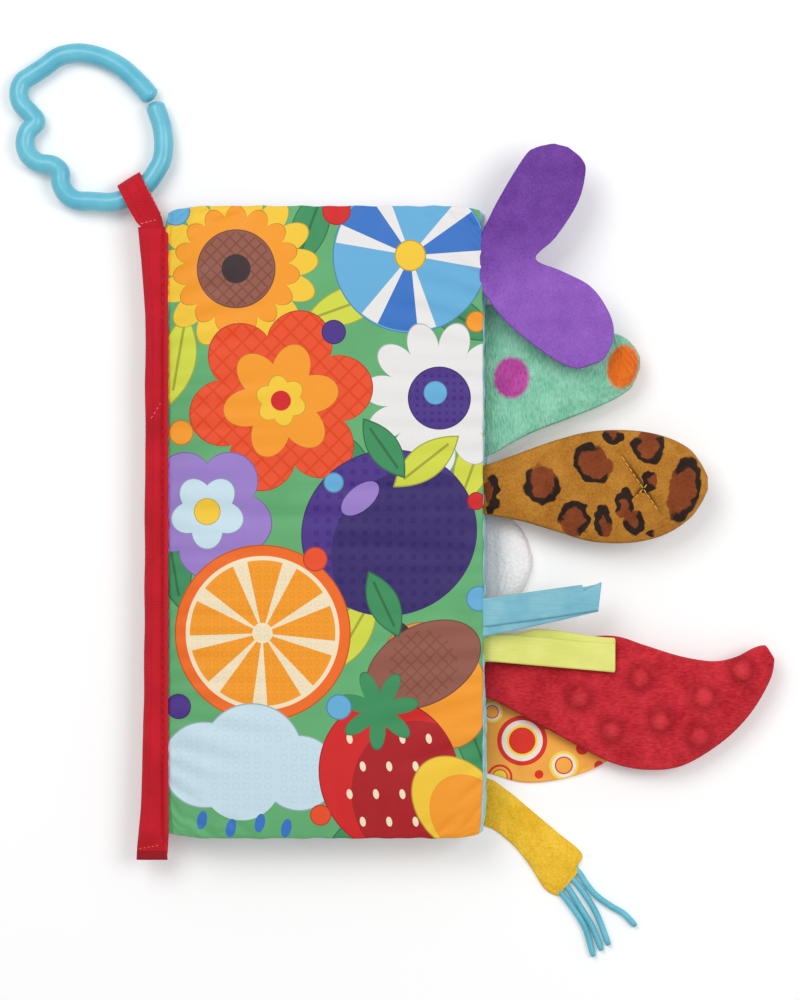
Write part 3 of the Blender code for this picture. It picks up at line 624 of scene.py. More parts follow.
GREEN = linear(96, 172, 112)
LIME = linear(205, 212, 66)
LEAF_GREEN = linear(56, 140, 88)
PURPLE = linear(72, 46, 132)
PLUM = linear(52, 34, 104)
LILAC = linear(150, 122, 196)
OFF_WHITE = linear(228, 226, 224)
CREAM = linear(238, 222, 188)
YELLOW = linear(238, 196, 52)
AMBER = linear(240, 152, 34)
RED_ORANGE = linear(230, 76, 34)
ORANGE = linear(236, 104, 24)
RED = linear(206, 28, 30)
BROWN = linear(143, 85, 70)
TAN = linear(212, 142, 66)
SKY = linear(98, 170, 212)
PALE_BLUE = linear(196, 220, 230)
BLUE = linear(52, 112, 192)
SEED = linear(54, 38, 42)
WHITE = linear(236, 234, 232)
DEEP_RED = linear(168, 14, 24)
PAGE_EDGE = linear(178, 222, 234)
PAGE_BORDER = 56.5
# a motif's outline: how wide, and how dark beside its own colour
LINE = 0.45
RIM_SHADE = 0.55
GROUND_SHADE = 0.90


class Print(Finish):
    """Printed satin: motifs painted one over another on a plain ground."""

    def __init__(self, name, ground):
        super().__init__(name, 0.55, 0.08)
        tint = self.between(self.noise(26), 0.35, 0.65)
        self.colour = self.mix(tint, darker(ground, GROUND_SHADE), ground)

    def lay(self, mask, colour):
        self.colour = self.mix(mask, self.colour, colour)

    def layers(self, colour, line=LINE):
        """A motif's own colour over a thin darker line round it, if it has one."""
        own = (0.0, colour)
        return ((line, darker(colour, RIM_SHADE)), own) if line else (own,)

    def ball(self, x, y, size, colour, tall=None, turn=0.0, line=LINE):
        """A disc or an oval with a thin darker line round it."""
        for grow, tone in self.layers(colour, line):
            self.lay(self.disc((x, y), (size + grow, (tall or size) + grow), turn), tone)

    def part(self, x, y, size, colour, inside, tall=None, turn=0.0):
        """An oval that shows only inside another oval: (x, y, size, tall, turn)."""
        ix, iy, isize, itall, iturn = inside
        self.lay(self.math("MULTIPLY", self.disc((x, y), (size, tall or size), turn),
                           self.disc((ix, iy), (isize, itall), iturn)), colour)

    def petals(self, x, y, size, count, depth, colour, turn=0.0, line=LINE, power=1.0):
        """A flower outline of so many round petals; gives its mask."""
        for grow, tone in self.layers(colour, line):
            spot = self.unit((x, y), (size + grow, size + grow), turn)
            angle = self.math("ARCTAN2", spot[1], spot[0])
            wave = self.math("COSINE", self.math("MULTIPLY", angle, count / 2))
            wave = self.math("POWER", self.math("ABSOLUTE", wave), power)
            edge = self.math("MULTIPLY_ADD", wave, depth, 1 - depth)
            mask = self.math("LESS_THAN", self.far(spot), edge)
            self.lay(mask, tone)
        return mask

    def leaf(self, x, y, length, width, colour, turn=0.0):
        """A pointed leaf with a middle vein."""
        for grow, tone in self.layers(colour):
            spot = self.unit((x, y), (length + 2 * grow, width + grow), turn)
            across = self.math("ABSOLUTE", spot[1])
            limit = self.math("MULTIPLY_ADD", self.math("MULTIPLY", spot[0], spot[0]),
                              -1.0, 1.0)
            self.lay(self.math("LESS_THAN", across, limit), tone)
        thin = self.math("LESS_THAN", across, 0.5 / width)
        inside = self.math("LESS_THAN", self.math("ABSOLUTE", spot[0]), 0.72)
        self.lay(self.math("MULTIPLY", thin, inside), darker(colour, RIM_SHADE))

    def rays(self, x, y, size, count, share, colour, turn=0.0, hole=0.0):
        """Wedges round a centre, such as the segments of a cut fruit."""
        spot = self.unit((x, y), (size, size), turn)
        angle = self.math("ARCTAN2", spot[1], spot[0])
        wave = self.math("COSINE", self.math("MULTIPLY", angle, count))
        far = self.square(spot)
        mask = self.math("MULTIPLY", self.math("GREATER_THAN", wave, 1 - 2 * share),
                         self.math("LESS_THAN", far, 1.0))
        if hole:
            mask = self.math("MULTIPLY", mask, self.math("GREATER_THAN", far, hole * hole))
        self.lay(mask, colour)

    def weave(self, x, y, size, pitch, strength, kind="DIAMOND", inside=None):
        """A faint tone-on-tone pattern inside a motif: diamonds, rings or scales."""
        turned = self.unit((x, y), (pitch, pitch), 45 if kind == "DIAMOND" else 0)
        if kind == "RINGS":
            cell = [self.math("SUBTRACT", self.math("FRACT", a), 0.5) for a in turned]
            ring = self.math("SUBTRACT", self.far(cell), 0.30)
            mask = self.math("LESS_THAN", self.math("ABSOLUTE", ring), 0.07)
        else:
            joined, limit = {"DIAMOND": ("MAXIMUM", 0.86), "SCALE": ("MINIMUM", 0.2)}[kind]
            waves = [self.math("COSINE", self.math("MULTIPLY", a, 2 * math.pi))
                     for a in turned]
            mask = self.math("GREATER_THAN", self.math(joined, *waves), limit)
        if inside is None:
            inside = self.disc((x, y), (size, size))
        self.lay(self.math("MULTIPLY", mask, inside), self.shaded(1 - strength, 1.05))

    def shaded(self, value, saturation=1.0):
        """The print so far, a little darker."""
        return self.add("ShaderNodeHueSaturation", {
            "Saturation": saturation, "Value": value, "Color": self.colour}).outputs[0]

    def done(self):
        """The woven satin under the print: fine threads and a soft, uneven gloss."""
        threads = self.waves("DIAGONAL", 0.7, 0.4, 1.0)
        grain = self.noise(0.6)
        soft = self.noise(7)
        normal = self.bump(self.math("ADD", threads, grain), 0.18, 0.0002)
        worn = self.mix(self.between(grain, 0.3, 0.7), self.colour, self.shaded(0.97))
        return self.finish(worn, self.bump(soft, 0.25, 0.0008, normal),
                           self.between(soft, 0.3, 0.7, 0.48, 0.62))


def cover_print():
    """The front cover: overlapping fruit, flowers, leaves and balls on green."""
    p = Print("cover_print", GREEN)
    # leaves that fill the gaps between the large motifs
    for x, y, turn, tone in ((-6, 112, 70, LEAF_GREEN), (8, 82, 20, LIME), (-56, 62, 80, LIME),
                             (6, 26, 140, LEAF_GREEN), (56, 22, 70, LIME),
                             (-58, -16, 100, LEAF_GREEN), (10, -42, 60, LIME),
                             (57, -84, 110, LEAF_GREEN), (-22, -70, 10, LIME),
                             (14, -118, 30, LEAF_GREEN), (50, 78, 150, LEAF_GREEN)):
        p.leaf(x, y, 17, 6.5, tone, turn)
    # sunflower
    p.petals(-34, 96, 31, 15, 0.24, YELLOW, 6, power=0.7)
    p.petals(-34, 96, 24, 15, 0.20, AMBER, 18, line=0.3, power=0.7)
    p.ball(-34, 96, 14.5, BROWN)
    p.weave(-34, 96, 14.0, 3.4, 0.30)
    p.ball(-34, 96, 5.5, SEED, line=0)
    # beach ball
    p.ball(32, 101, 29, SKY)
    p.rays(32, 101, 28.6, 3, 0.5, OFF_WHITE, 20)
    p.rays(32, 101, 28.6, 3, 0.16, BLUE, 20)
    p.ball(32, 101, 5.5, YELLOW)
    # daisy
    p.petals(43, 47, 29, 11, 0.34, OFF_WHITE, 9, power=0.6)
    p.ball(43, 47, 11.5, PURPLE)
    p.weave(43, 47, 11.0, 2.8, 0.28, kind="SCALE")
    p.ball(41.5, 49, 4.2, SKY, line=0.3)
    # hibiscus in red and orange
    petals = p.petals(-17, 46, 35, 6, 0.30, RED_ORANGE, 12, power=0.75)
    p.weave(-17, 46, 34, 5.2, 0.12, inside=petals)
    p.petals(-17, 46, 22, 6, 0.36, AMBER, 12, line=0.3)
    p.petals(-17, 46, 9.5, 6, 0.25, YELLOW, 40, line=0.3)
    p.ball(-17, 46, 3.8, RED, line=0)
    # plum with a leaf
    p.ball(24, -4, 33, PURPLE, 31, 15)
    p.part(35, -13, 33, PLUM, (24, -4, 33, 31, 15))
    p.weave(24, -4, 31, 4.6, 0.16, kind="SCALE")
    p.ball(13, 9, 8.5, LILAC, 4.5, 40, line=0)
    p.leaf(38, 23, 15, 6, LIME, 38)
    p.leaf(22, 28, 13, 5.5, LEAF_GREEN, 125)
    # lilac bell flower
    p.petals(-45, 4, 25, 5, 0.28, LILAC, 54, power=0.8)
    p.petals(-45, 4, 14, 5, 0.30, PALE_BLUE, 54, line=0.3)
    p.ball(-45, 4, 4.8, YELLOW, line=0.3)
    # orange slice
    p.ball(-24, -42, 33, ORANGE)
    p.ball(-24, -42, 29.2, CREAM, line=0)
    p.rays(-24, -42, 27.6, 9, 0.80, AMBER, 8, hole=0.14)
    p.weave(-24, -42, 26.5, 3.2, 0.07, kind="RINGS")
    # acorn
    p.ball(41, -62, 19, TAN, 25, 28)
    p.part(47, -64, 17, AMBER, (41, -62, 19, 25, 28), 22, 28)
    p.ball(31, -46, 3.2, SEED, 9, 28)
    p.ball(37, -54, 23, BROWN, 14.5, 28)
    p.weave(37, -54, 13, 3.4, 0.22)
    p.leaf(22, -31, 13, 5.5, LEAF_GREEN, 115)
    # cloud with rain
    for x, y, size in ((-46, -92, 16), (-28, -88, 19), (-10, -95, 14)):
        p.ball(x, y, size, PALE_BLUE)
    for x, y, size in ((-46, -92, 16), (-28, -88, 19), (-10, -95, 14), (-32, -98, 15)):
        p.ball(x, y, size, PALE_BLUE, line=0)
        p.weave(x, y, size - 2, 4.0, 0.05, kind="RINGS")
    for x, y in ((-47, -113), (-36, -116), (-25, -114), (-15, -116)):
        p.ball(x, y, 1.9, BLUE, 3.6, -12, line=0)
    # strawberry
    p.ball(24, -96, 26, RED, 29, 18)
    p.part(36, -104, 26, DEEP_RED, (24, -96, 26, 29, 18), 29, 18)
    for row in range(4):
        for column in range(4):
            p.ball(9 + column * 10 + (row % 2) * 5, -82 - row * 10.5, 1.1, CREAM, 1.9, 12,
                   line=0)
    p.petals(20, -71, 15, 7, 0.55, LEAF_GREEN, 10, power=1.4)
    # lemon
    p.ball(50, -107, 15, YELLOW, 20, 40)
    p.part(55, -112, 14, AMBER, (50, -107, 15, 20, 40), 18, 40)
    # small balls in the gaps
    for x, y, size, tone in ((4, 118, 5, RED), (-57, 118, 5, SKY), (3, 72, 4.2, PURPLE),
                             (57, 76, 3.6, AMBER), (-55, 34, 4.4, AMBER), (3, 15, 3.4, SKY),
                             (-4, -14, 4.2, RED_ORANGE), (58, -29, 4.4, SKY),
                             (-56, -70, 4.4, PURPLE), (5, -70, 4.4, SKY),
                             (-2, -111, 3.6, RED_ORANGE), (57, 8, 3.0, RED)):
        p.ball(x, y, size, tone)
    return p.done()


def page_print(name, ground, hills, motifs):
    """An inner page: hills along its foot and a few large motifs over them."""
    p = Print(name, ground)
    for x, y, size, tall, tone in hills:
        p.ball(x, y, size, tone, tall)
    for kind, x, y, size, tone, other in motifs:
        if kind == "ball":
            p.ball(x, y, size, tone)
            p.part(x + size * 0.4, y - size * 0.3, size, other, (x, y, size, size, 0))
        elif kind == "flower":
            p.petals(x, y, size, 9, 0.30, tone, 8, power=0.7)
            p.ball(x, y, size * 0.4, other)
        elif kind == "cloud":
            for dx, dy, share in ((-0.9, 0, 0.62), (0.9, -0.1, 0.56), (0, 0.15, 0.9)):
                p.ball(x + dx * size, y + dy * size, size * share, tone, line=0)
        elif kind == "leaf":
            p.leaf(x, y, size, size * 0.36, tone, other)
        elif kind == "slice":
            p.ball(x, y, size, tone)
            p.ball(x, y, size * 0.88, CREAM, line=0)
            p.rays(x, y, size * 0.82, 8, 0.78, other, 8, hole=0.12)
    p.lay(p.math("GREATER_THAN", p.x, PAGE_BORDER), PAGE_EDGE)
    return p.done()


def inner_prints():
    """Prints of the pages that the closed book hides, front to back."""
    meadow = ((-30, -110, 70, 44, GREEN), (50, -124, 66, 50, LEAF_GREEN))
    shore = ((0, -122, 90, 46, AMBER), (-50, -128, 60, 44, TAN))
    snow = ((20, -118, 80, 46, WHITE), (-50, -124, 60, 48, PALE_BLUE))
    return {
        "front_cover_back": page_print("inside_cover_print", linear(130, 200, 220), meadow, (
            ("cloud", -22, 84, 18, WHITE, None), ("cloud", 34, 52, 14, WHITE, None),
            ("ball", 30, 96, 17, YELLOW, AMBER), ("flower", -28, -42, 22, RED, YELLOW),
            ("flower", 24, -62, 18, LILAC, AMBER), ("leaf", -6, 8, 22, LEAF_GREEN, 60))),
        "leaf_2_front": page_print("page_2_print", linear(150, 208, 214), meadow, (
            ("ball", -26, 80, 22, RED_ORANGE, AMBER), ("leaf", 20, 40, 26, LEAF_GREEN, 120),
            ("flower", 20, -30, 25, YELLOW, BROWN), ("flower", -34, -68, 18, RED, YELLOW),
            ("cloud", 24, 96, 14, WHITE, None))),
        "leaf_2_back": page_print("page_3_print", linear(240, 200, 90), shore, (
            ("slice", -16, 60, 28, ORANGE, AMBER), ("leaf", 30, 20, 24, LEAF_GREEN, 50),
            ("ball", 18, -48, 22, SKY, BLUE), ("ball", 34, 98, 13, RED, RED_ORANGE))),
        "leaf_3_front": page_print("page_4_print", linear(150, 206, 220), shore, (
            ("flower", -20, 66, 28, OFF_WHITE, PURPLE), ("ball", 30, 18, 20, PURPLE, PLUM),
            ("leaf", -34, -8, 20, LIME, 80), ("slice", 4, -62, 26, ORANGE, AMBER))),
        "leaf_3_back": page_print("page_5_print", linear(170, 150, 208), snow, (
            ("cloud", 10, 84, 20, WHITE, None), ("ball", -20, 20, 24, SKY, BLUE),
            ("flower", 28, -36, 20, AMBER, RED), ("leaf", -38, 66, 18, LIME, 100))),
        "back_cover_front": page_print("page_6_print", linear(120, 186, 220), snow, (
            ("ball", 16, 66, 26, YELLOW, AMBER), ("flower", -28, 0, 22, RED_ORANGE, YELLOW),
            ("leaf", 30, -24, 22, GREEN, 70), ("cloud", -26, 104, 14, WHITE, None))),
        "back_cover_back": page_print("outside_back_print", GREEN, (), (
            ("leaf", -20, 78, 30, LIME, 30), ("flower", 24, 46, 24, YELLOW, BROWN),
            ("slice", -22, -10, 24, ORANGE, AMBER), ("ball", 26, -56, 22, PURPLE, PLUM),
            ("flower", -26, -84, 20, OFF_WHITE, RED), ("leaf", 34, 98, 18, LEAF_GREEN, 120))),
    }


# The leaves

LEAF_CELLS = (96, 170)
COVER_CLOTH = (60, 110)
LEAF_CLOTH = (34, 64)
LEAF_CLOTH_CAP = 0.0008
SEAM_BAND = 0.0075
GATHERS = 0.0085
GATHER_DRAW = 0.00022
PUCKER_DEPTH = 0.00042
SWELL_DEPTH = 0.00045
CREASE_DEPTH = 0.00018
BED_SHARE = 0.2
EDGE_THINNING = 0.0011
NECK_POINTS = 12
FILM = 0.0001
FILM_RIPPLE = 0.00008
LEAF_RIM = 0.00012
NEAR_EDGE = 0.006
FULL_ROOM = 0.002


def leaf_level(number):
    return SEAM_HALF if number == 0 else LEAF_THICKNESS / 2 + number * LEAF_PITCH


def hinge_level(number):
    return SPINE_HEIGHT + (number - (len(LEAF_NAMES) - 1) / 2) * HINGE_PITCH


def edge_x(number):
    return SPINE_X + LEAF_WIDTH + (len(LEAF_NAMES) - 1 - number) * LEAF_STAGGER


def leaf_faces(number, x, y):
    """Heights of a leaf's back and front face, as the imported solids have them."""
    half = (edge_x(number) - SPINE_X) / 2
    across = 1 - np.minimum(np.abs(x - SPINE_X - half) / half, 1) ** 4
    up = 1 - np.minimum(np.abs(y) / TOP_Y, 1) ** 4
    full = CROWN_HALF * np.sqrt(across * up)
    lift = np.maximum(0, 1 - (x - SPINE_X) / SPINE_REACH) ** 2
    if number == 0:
        low = (hinge_level(0) - SEAM_HALF) * lift
        return low, low + 2 * SEAM_HALF + 2 * full
    middle = leaf_level(number) + (hinge_level(number) - leaf_level(number)) * lift
    return middle - SEAM_HALF - full, middle + SEAM_HALF + full


def leaf_grids(number):
    """Front and back grids of a leaf, with its puckered seams and soft creases."""
    half = (edge_x(number) - SPINE_X) / 2
    u, v = np.meshgrid(*(np.sin(np.linspace(-0.5, 0.5, count) * math.pi)
                         for count in LEAF_CELLS), indexing="ij")
    pull = CORNER_PULL * np.abs(u * v) ** 12
    x = SPINE_X + half + u * (half - pull)
    y = v * (TOP_Y - pull)
    low, high = leaf_faces(number, x, y)
    near_side = (1 - np.abs(u)) * half
    near_end = (1 - np.abs(v)) * TOP_Y
    near = np.minimum(near_side, near_end)
    along = np.where(near_side < near_end, y, x)
    gathers = ripples(along, near * 0.25, GATHERS, 11 + number)
    puckers = (gathers * 0.5 + 0.5) * np.exp(-(near / SEAM_BAND) ** 1.4)
    # the outline draws in a little where the seam gathers the fabric
    draw = (GATHER_DRAW + GATHER_DRAW * gathers) * np.exp(-near / NEAR_EDGE)
    x = x - np.sign(u) * draw * (near_side <= near_end) * (u > 0)
    y = y - np.sign(v) * draw * (near_end < near_side)
    ease = np.clip((high - low - 2 * SEAM_HALF) / FULL_ROOM, 0, 1)
    dips = []
    for seed in (100 + number * 10, 101 + number * 10):
        swell = ripples(x, y, 0.062, seed) * 0.5 + 0.5
        crease = np.clip(1 - np.abs(ripples(x, y * 0.6, 0.055, seed + 5)), 0, 1) ** 6
        dips.append((PUCKER_DEPTH * puckers + SWELL_DEPTH * swell + CREASE_DEPTH * crease)
                    * ease)
    low = low + dips[0] * (1 if number else BED_SHARE)
    high = high - dips[1]
    cover = number == len(LEAF_NAMES) - 1
    above, below = cloth_relief((np.stack([x, y, high], 2), np.stack([x, y, low], 2)),
                                *(COVER_CLOTH if cover else LEAF_CLOTH), LEAF_CLOTH_CAP)
    high = high + (above if cover else np.minimum(above, 0))
    if number:
        low = low - np.minimum(below, 0)
    thin = np.clip(near / EDGE_THINNING, 0, 1)
    slim = SEAM_HALF * 0.6 * (1 - np.sqrt(1 - (1 - thin) ** 2))
    return np.stack([x, y, high - slim], 2), np.stack([x, y, low + slim], 2)


def with_neck(number, faces):
    """A leaf's grids with rows of points from its spine edge down into the binding."""
    inner = SPINE_HEIGHT + (number - (len(LEAF_NAMES) - 1) / 2) * SEAM_STRIP_PITCH
    bend_x = TAPE_RIGHT + SEAM_STRIP / 2
    y = faces[0][0, :, 1]
    narrow = np.interp(y, (-TOP_Y, TOP_Y), (-TOP_Y + SEAM_STRIP_INSET,
                                            TOP_Y - BINDING_SHORT - SEAM_STRIP_INSET))
    level = hinge_level(number)
    path = curve_at(((SPINE_X, level), (HINGE_X - 0.0001, level - 0.0001),
                     ((bend_x + HINGE_X) / 2, (level * 2 + inner) / 3), (bend_x, inner),
                     (bend_x - 0.0012, inner), (bend_x - SEAM_STRIP_DEPTH, inner)),
                    np.linspace(0, 1, NECK_POINTS))[1:]
    half = SEAM_STRIP / 2 * 0.95
    necks = ([], [])
    for step, (x, z) in enumerate(path, start=1):
        here = y + (narrow - y) * min(step / 8, 1.0)
        slope = path[min(step, len(path) - 1)] - path[max(step - 2, 0)]
        slope = slope / max(np.linalg.norm(slope), 1e-9)
        for rows, side in zip(necks, SIDES):
            rows.append(np.stack([np.full_like(y, x + slope[1] * half * side), here,
                                  np.full_like(y, z - slope[0] * half * side)], 1))
    return [np.concatenate([np.stack(rows[::-1]), grid]) for rows, grid in zip(necks, faces)]


def filling(name, node, faces, cells, shares, mat, body):
    """A pad inside a bag, its faces at those shares of the way to the bag's own.

    Gives the middle between the bag's faces, and the bag's back.
    """
    front, back = (grid[np.ix_(*(places.astype(int) for places in cells))] for grid in faces)
    middle = (front + back) / 2
    pad = shell_object(name, [middle + (grid - middle) * share
                              for grid, share in zip((front, back), shares)], [mat])
    place(pad, "wadding", [node], body)
    return middle, back


def make_leaves():
    """Each leaf as one skin with its neck, and its wadding and crinkle film inside."""
    wadding = plush("wadding_fibre", (214, 214, 210), (246, 246, 242), 0.9)
    film = Finish("crinkle_film_skin", 0.2, Transmission_Weight=0.6)
    film_mat = film.finish(linear(214, 220, 226), film.bump(film.noise(3, 3.0), 0.8, 0.001))
    prints = inner_prints()
    prints["front_cover_front"] = cover_print()
    for number, name in enumerate(LEAF_NAMES):
        body = LEAF_BODIES[number]
        faces = with_neck(number, leaf_grids(number))
        leaf = shell_object(name + "_pages", faces,
                            [prints[name + "_front"], prints[name + "_back"]], LEAF_RIM)
        place(leaf, "printed_satin",
              [name + "_front_page", name + "_back_page", name + "_spine_seam"],
              None if number else body)
        if number:
            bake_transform(leaf)
        rows, columns = faces[0].shape[:2]
        cells = (np.linspace(WADDING_FROM, rows - 14, 26), np.linspace(16, columns - 17, 48))
        middle, below = filling(name + "_wadding_fill", name + "_wadding", faces, cells,
                                (0.5, 0.3), wadding, body)
        sheet = middle + (below - middle) * 0.55
        x, y = sheet[..., 0], sheet[..., 1]
        sheet[..., 2] += ripples(x, y, 0.012, 7) * FILM_RIPPLE
        crinkle = strip_object(name + "_film_sheet", sheet, FILM, film_mat)
        place(crinkle, "crinkle_film", [name + "_crinkle_film"], body)


# Spine, loop and ring

# places up the spine, with the tape's width and then half its thickness there
BINDING_WIDTHS = ((-0.1288, 0.0104), (-0.1240, 0.0102), (-0.1090, 0.0088), (-0.0809, 0.0077),
                  (-0.0296, 0.0073), (0.0388, 0.0070), (0.0787, 0.0071), (0.1000, 0.0084),
                  (0.1124, 0.0098))
BINDING_LEVEL = (SEAM_STRIP_PITCH * (len(LEAF_NAMES) - 1) / 2 + SEAM_STRIP / 2
                 + 0.0003 + TAPE / 2)
BINDING_HALVES = ((-0.1288, 0.0009), (-0.1240, 0.0013), (-0.1190, BINDING_LEVEL),
                  (0.1085, BINDING_LEVEL), (0.1124, 0.0019))
TOPSTITCH = (STITCH_PITCH * 0.74, STITCH_PITCH * 0.26, 0.00042)
LAYER_GAP = 0.00015
GROOVE_HALF = 0.00045
GROOVE_DEPTH = 0.00045
TAPE_SHARE = 0.9
TAPE_CUPPING = 0.00025
TAPE_FOLD = 0.00045
RING_DOME = 0.0024
RING_END_STEPS = np.array([0, 0.0001, 0.0003, 0.0006, 0.0010, 0.0015, 0.0020])


def binding_section(y):
    """The folded tape's width, and half its thickness."""
    width = np.interp(y, *zip(*BINDING_WIDTHS)) + 0.00022 * ripples(y, y * 0, 0.030, 41)
    return width, np.interp(y, *zip(*BINDING_HALVES))


def lip_rise(y):
    """How far the tape's upper edge climbs on the cover's neck."""
    return LIP_RISE * ramp(y, -0.1225, -0.1180) * (1 - 0.45 * ramp(y, 0.1085, 0.1124))


def lip_x(y):
    """Where the tape's upper edge lies, gathered a little by its stitches."""
    return LIP_X + 0.00014 * ripples(y, y * 0, 0.0042, 43) - 0.0006 * ramp(-y, 0.118, 0.1285)


def binding_top(x, y):
    """Height of the tape's upper layer, with the groove that its stitches pull in."""
    width, half = binding_section(y)
    share = np.clip((TAPE_RIGHT - x) / width, 0, 1)
    groove = np.exp(-((x - GROOVE_X) / GROOVE_HALF) ** 2)
    groove = groove * (0.75 + 0.25 * np.cos(y * 2 * math.pi / STITCH_PITCH))
    return (SPINE_HEIGHT + half * (1 + 0.08 * np.sin(share * 3.1))
            + lip_rise(y) * ramp(x, GROOVE_X - 0.0005, LIP_X) - GROOVE_DEPTH * groove)


def tape_stitches(name, start, end, stitch, mat):
    """Stitches through the tape's upper layer, from one place to another."""
    xs, ys = (np.linspace(a, b, 160) for a, b in zip(start, end))
    path = np.stack([xs, ys, binding_top(xs, ys) + TAPE * 0.45], 1)
    stitch_row(name, path, stitch, mat, "red_tape", "book_base")


def make_spine(red, pale):
    bottom = -TOP_Y - BINDING_BELOW
    top = TOP_Y - BINDING_SHORT
    y = np.linspace(bottom, top, 260)
    width, half = binding_section(y)
    rows = []
    for share in np.linspace(0, 1, 34)[:-1]:
        x = lip_x(y) * (1 - share) + (TAPE_RIGHT - width + half) * share
        rows.append((x, binding_top(x, y)))
    for angle in np.linspace(0, math.pi, 13):
        rows.append((TAPE_RIGHT - width + half * (1 - math.sin(angle)),
                     SPINE_HEIGHT + half * math.cos(angle)))
    for share in np.linspace(1, 0, 10)[1:]:
        rows.append((TAPE_RIGHT - (width - half) * share, SPINE_HEIGHT - half))
    grid = np.stack([np.stack([x, y, z], 1) for x, z in rows])
    grid[..., 2] += (ripples(grid[..., 0], grid[..., 1], 0.016, 45) * 0.00016
                     + ripples(grid[..., 0] * 0.2, grid[..., 1], 0.055, 46) * 0.00022)
    binding = strip_object("binding_tape", grid[:, ::-1], TAPE * TAPE_SHARE, red)
    place(binding, "red_tape", ["spine_binding"])
    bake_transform(binding)
    tape_stitches("binding_topstitch", (GROOVE_X, bottom + 0.006), (GROOVE_X, top - 0.003),
                  TOPSTITCH, tape_finish("red_thread", (200, 34, 50), (218, 62, 72)))
    tape_stitches("binding_join", (-0.0669, 0.0390), (-0.0622, 0.0468),
                  (0.0013, 0.0007, 0.0004), pale)
    tape_stitches("binding_end_tack", (-0.0716, -0.1246), (-0.0626, -0.1229),
                  (0.0013, 0.0003, 0.00045),
                  tape_finish("orange_thread", (226, 92, 60), (240, 128, 92)))


def loop_places():
    """Root of the hanging loop, its direction, and the wire's centre inside it."""
    root = np.array([TAPE_RIGHT - BINDING_WIDTH / 2 - LOOP_SHIFT,
                     TOP_Y - BINDING_SHORT + HINGE_GAP, SPINE_HEIGHT])
    away = np.array([-math.sin(LOOP_LEAN), math.cos(LOOP_LEAN), 0])
    carrier = root + away * LOOP_REACH
    carrier[2] = LOOP_RADIUS + TAPE / 2 + BED_GAP
    return root, away, carrier


def make_loop(red, thread):
    root, away, carrier = loop_places()
    layer = TAPE / 2 + LAYER_GAP
    outline = [(-0.0022, layer), (0.0, layer), (LOOP_BAR, layer)]
    for angle in np.linspace(LOOP_TURN, -LOOP_TURN, 25):
        outline.append((LOOP_REACH + LOOP_RADIUS * math.cos(angle),
                        LOOP_RADIUS * math.sin(angle)))
    outline += [(LOOP_BAR, -layer), (0.0, -layer), (-0.0022, -layer)]
    v = np.linspace(-0.5, 0.5, 45)[:, None]
    rows = []
    for reach, height in curve_at(outline, np.linspace(0, 1, 90)):
        share = min(max(reach / LOOP_REACH, 0.0), 1.0)
        lean = WIRE_LEAN * share
        across = np.array([math.cos(lean), math.sin(lean), 0]) * v * LOOP_TAPE_WIDTH
        if reach < LOOP_BAR:
            across = across * (0.86 + 0.14 * max(reach, 0) / LOOP_BAR)
        middle = root[2] + (carrier[2] - root[2]) * share
        fold = np.exp(-((v - 0.22 + 0.04 * math.sin(reach * 300)) / 0.06) ** 2)
        fold += 0.6 * np.exp(-((v + 0.16 + 0.03 * math.sin(reach * 220)) / 0.05) ** 2)
        cup = TAPE_CUPPING * np.cos(v * math.pi * 2) + TAPE_FOLD * fold
        cup = cup * math.copysign(1, height)
        rows.append(np.array([root[0], root[1], middle + height]) + away * reach + across
                    + np.concatenate([v * 0, v * 0, cup * (0.3 + share)], 1))
    grid = np.stack(rows)
    loop = strip_object("hanging_loop_tape", grid[:, ::-1], TAPE * TAPE_SHARE, red)
    place(loop, "red_tape", ["hanging_loop"])
    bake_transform(loop)
    # a bar tack where the loop meets the binding, and stitches along its outer edge
    height = grid_height(grid[:45])
    for name, start, end in (
            ("loop_bar_tack", (-0.0712, 0.1137), (-0.0632, 0.1158)),
            ("loop_topstitch", (-0.0632, 0.1175), (-0.0697, 0.1300))):
        xs, ys = (np.linspace(a, b, 14) for a, b in zip(start, end))
        path = np.stack([xs, ys, [height(*spot) + TAPE * 0.5 for spot in zip(xs, ys)]], 1)
        stitch_row(name, path, (0.0013, 0.0004, 0.0004), thread, "red_tape", "hanging_loop")


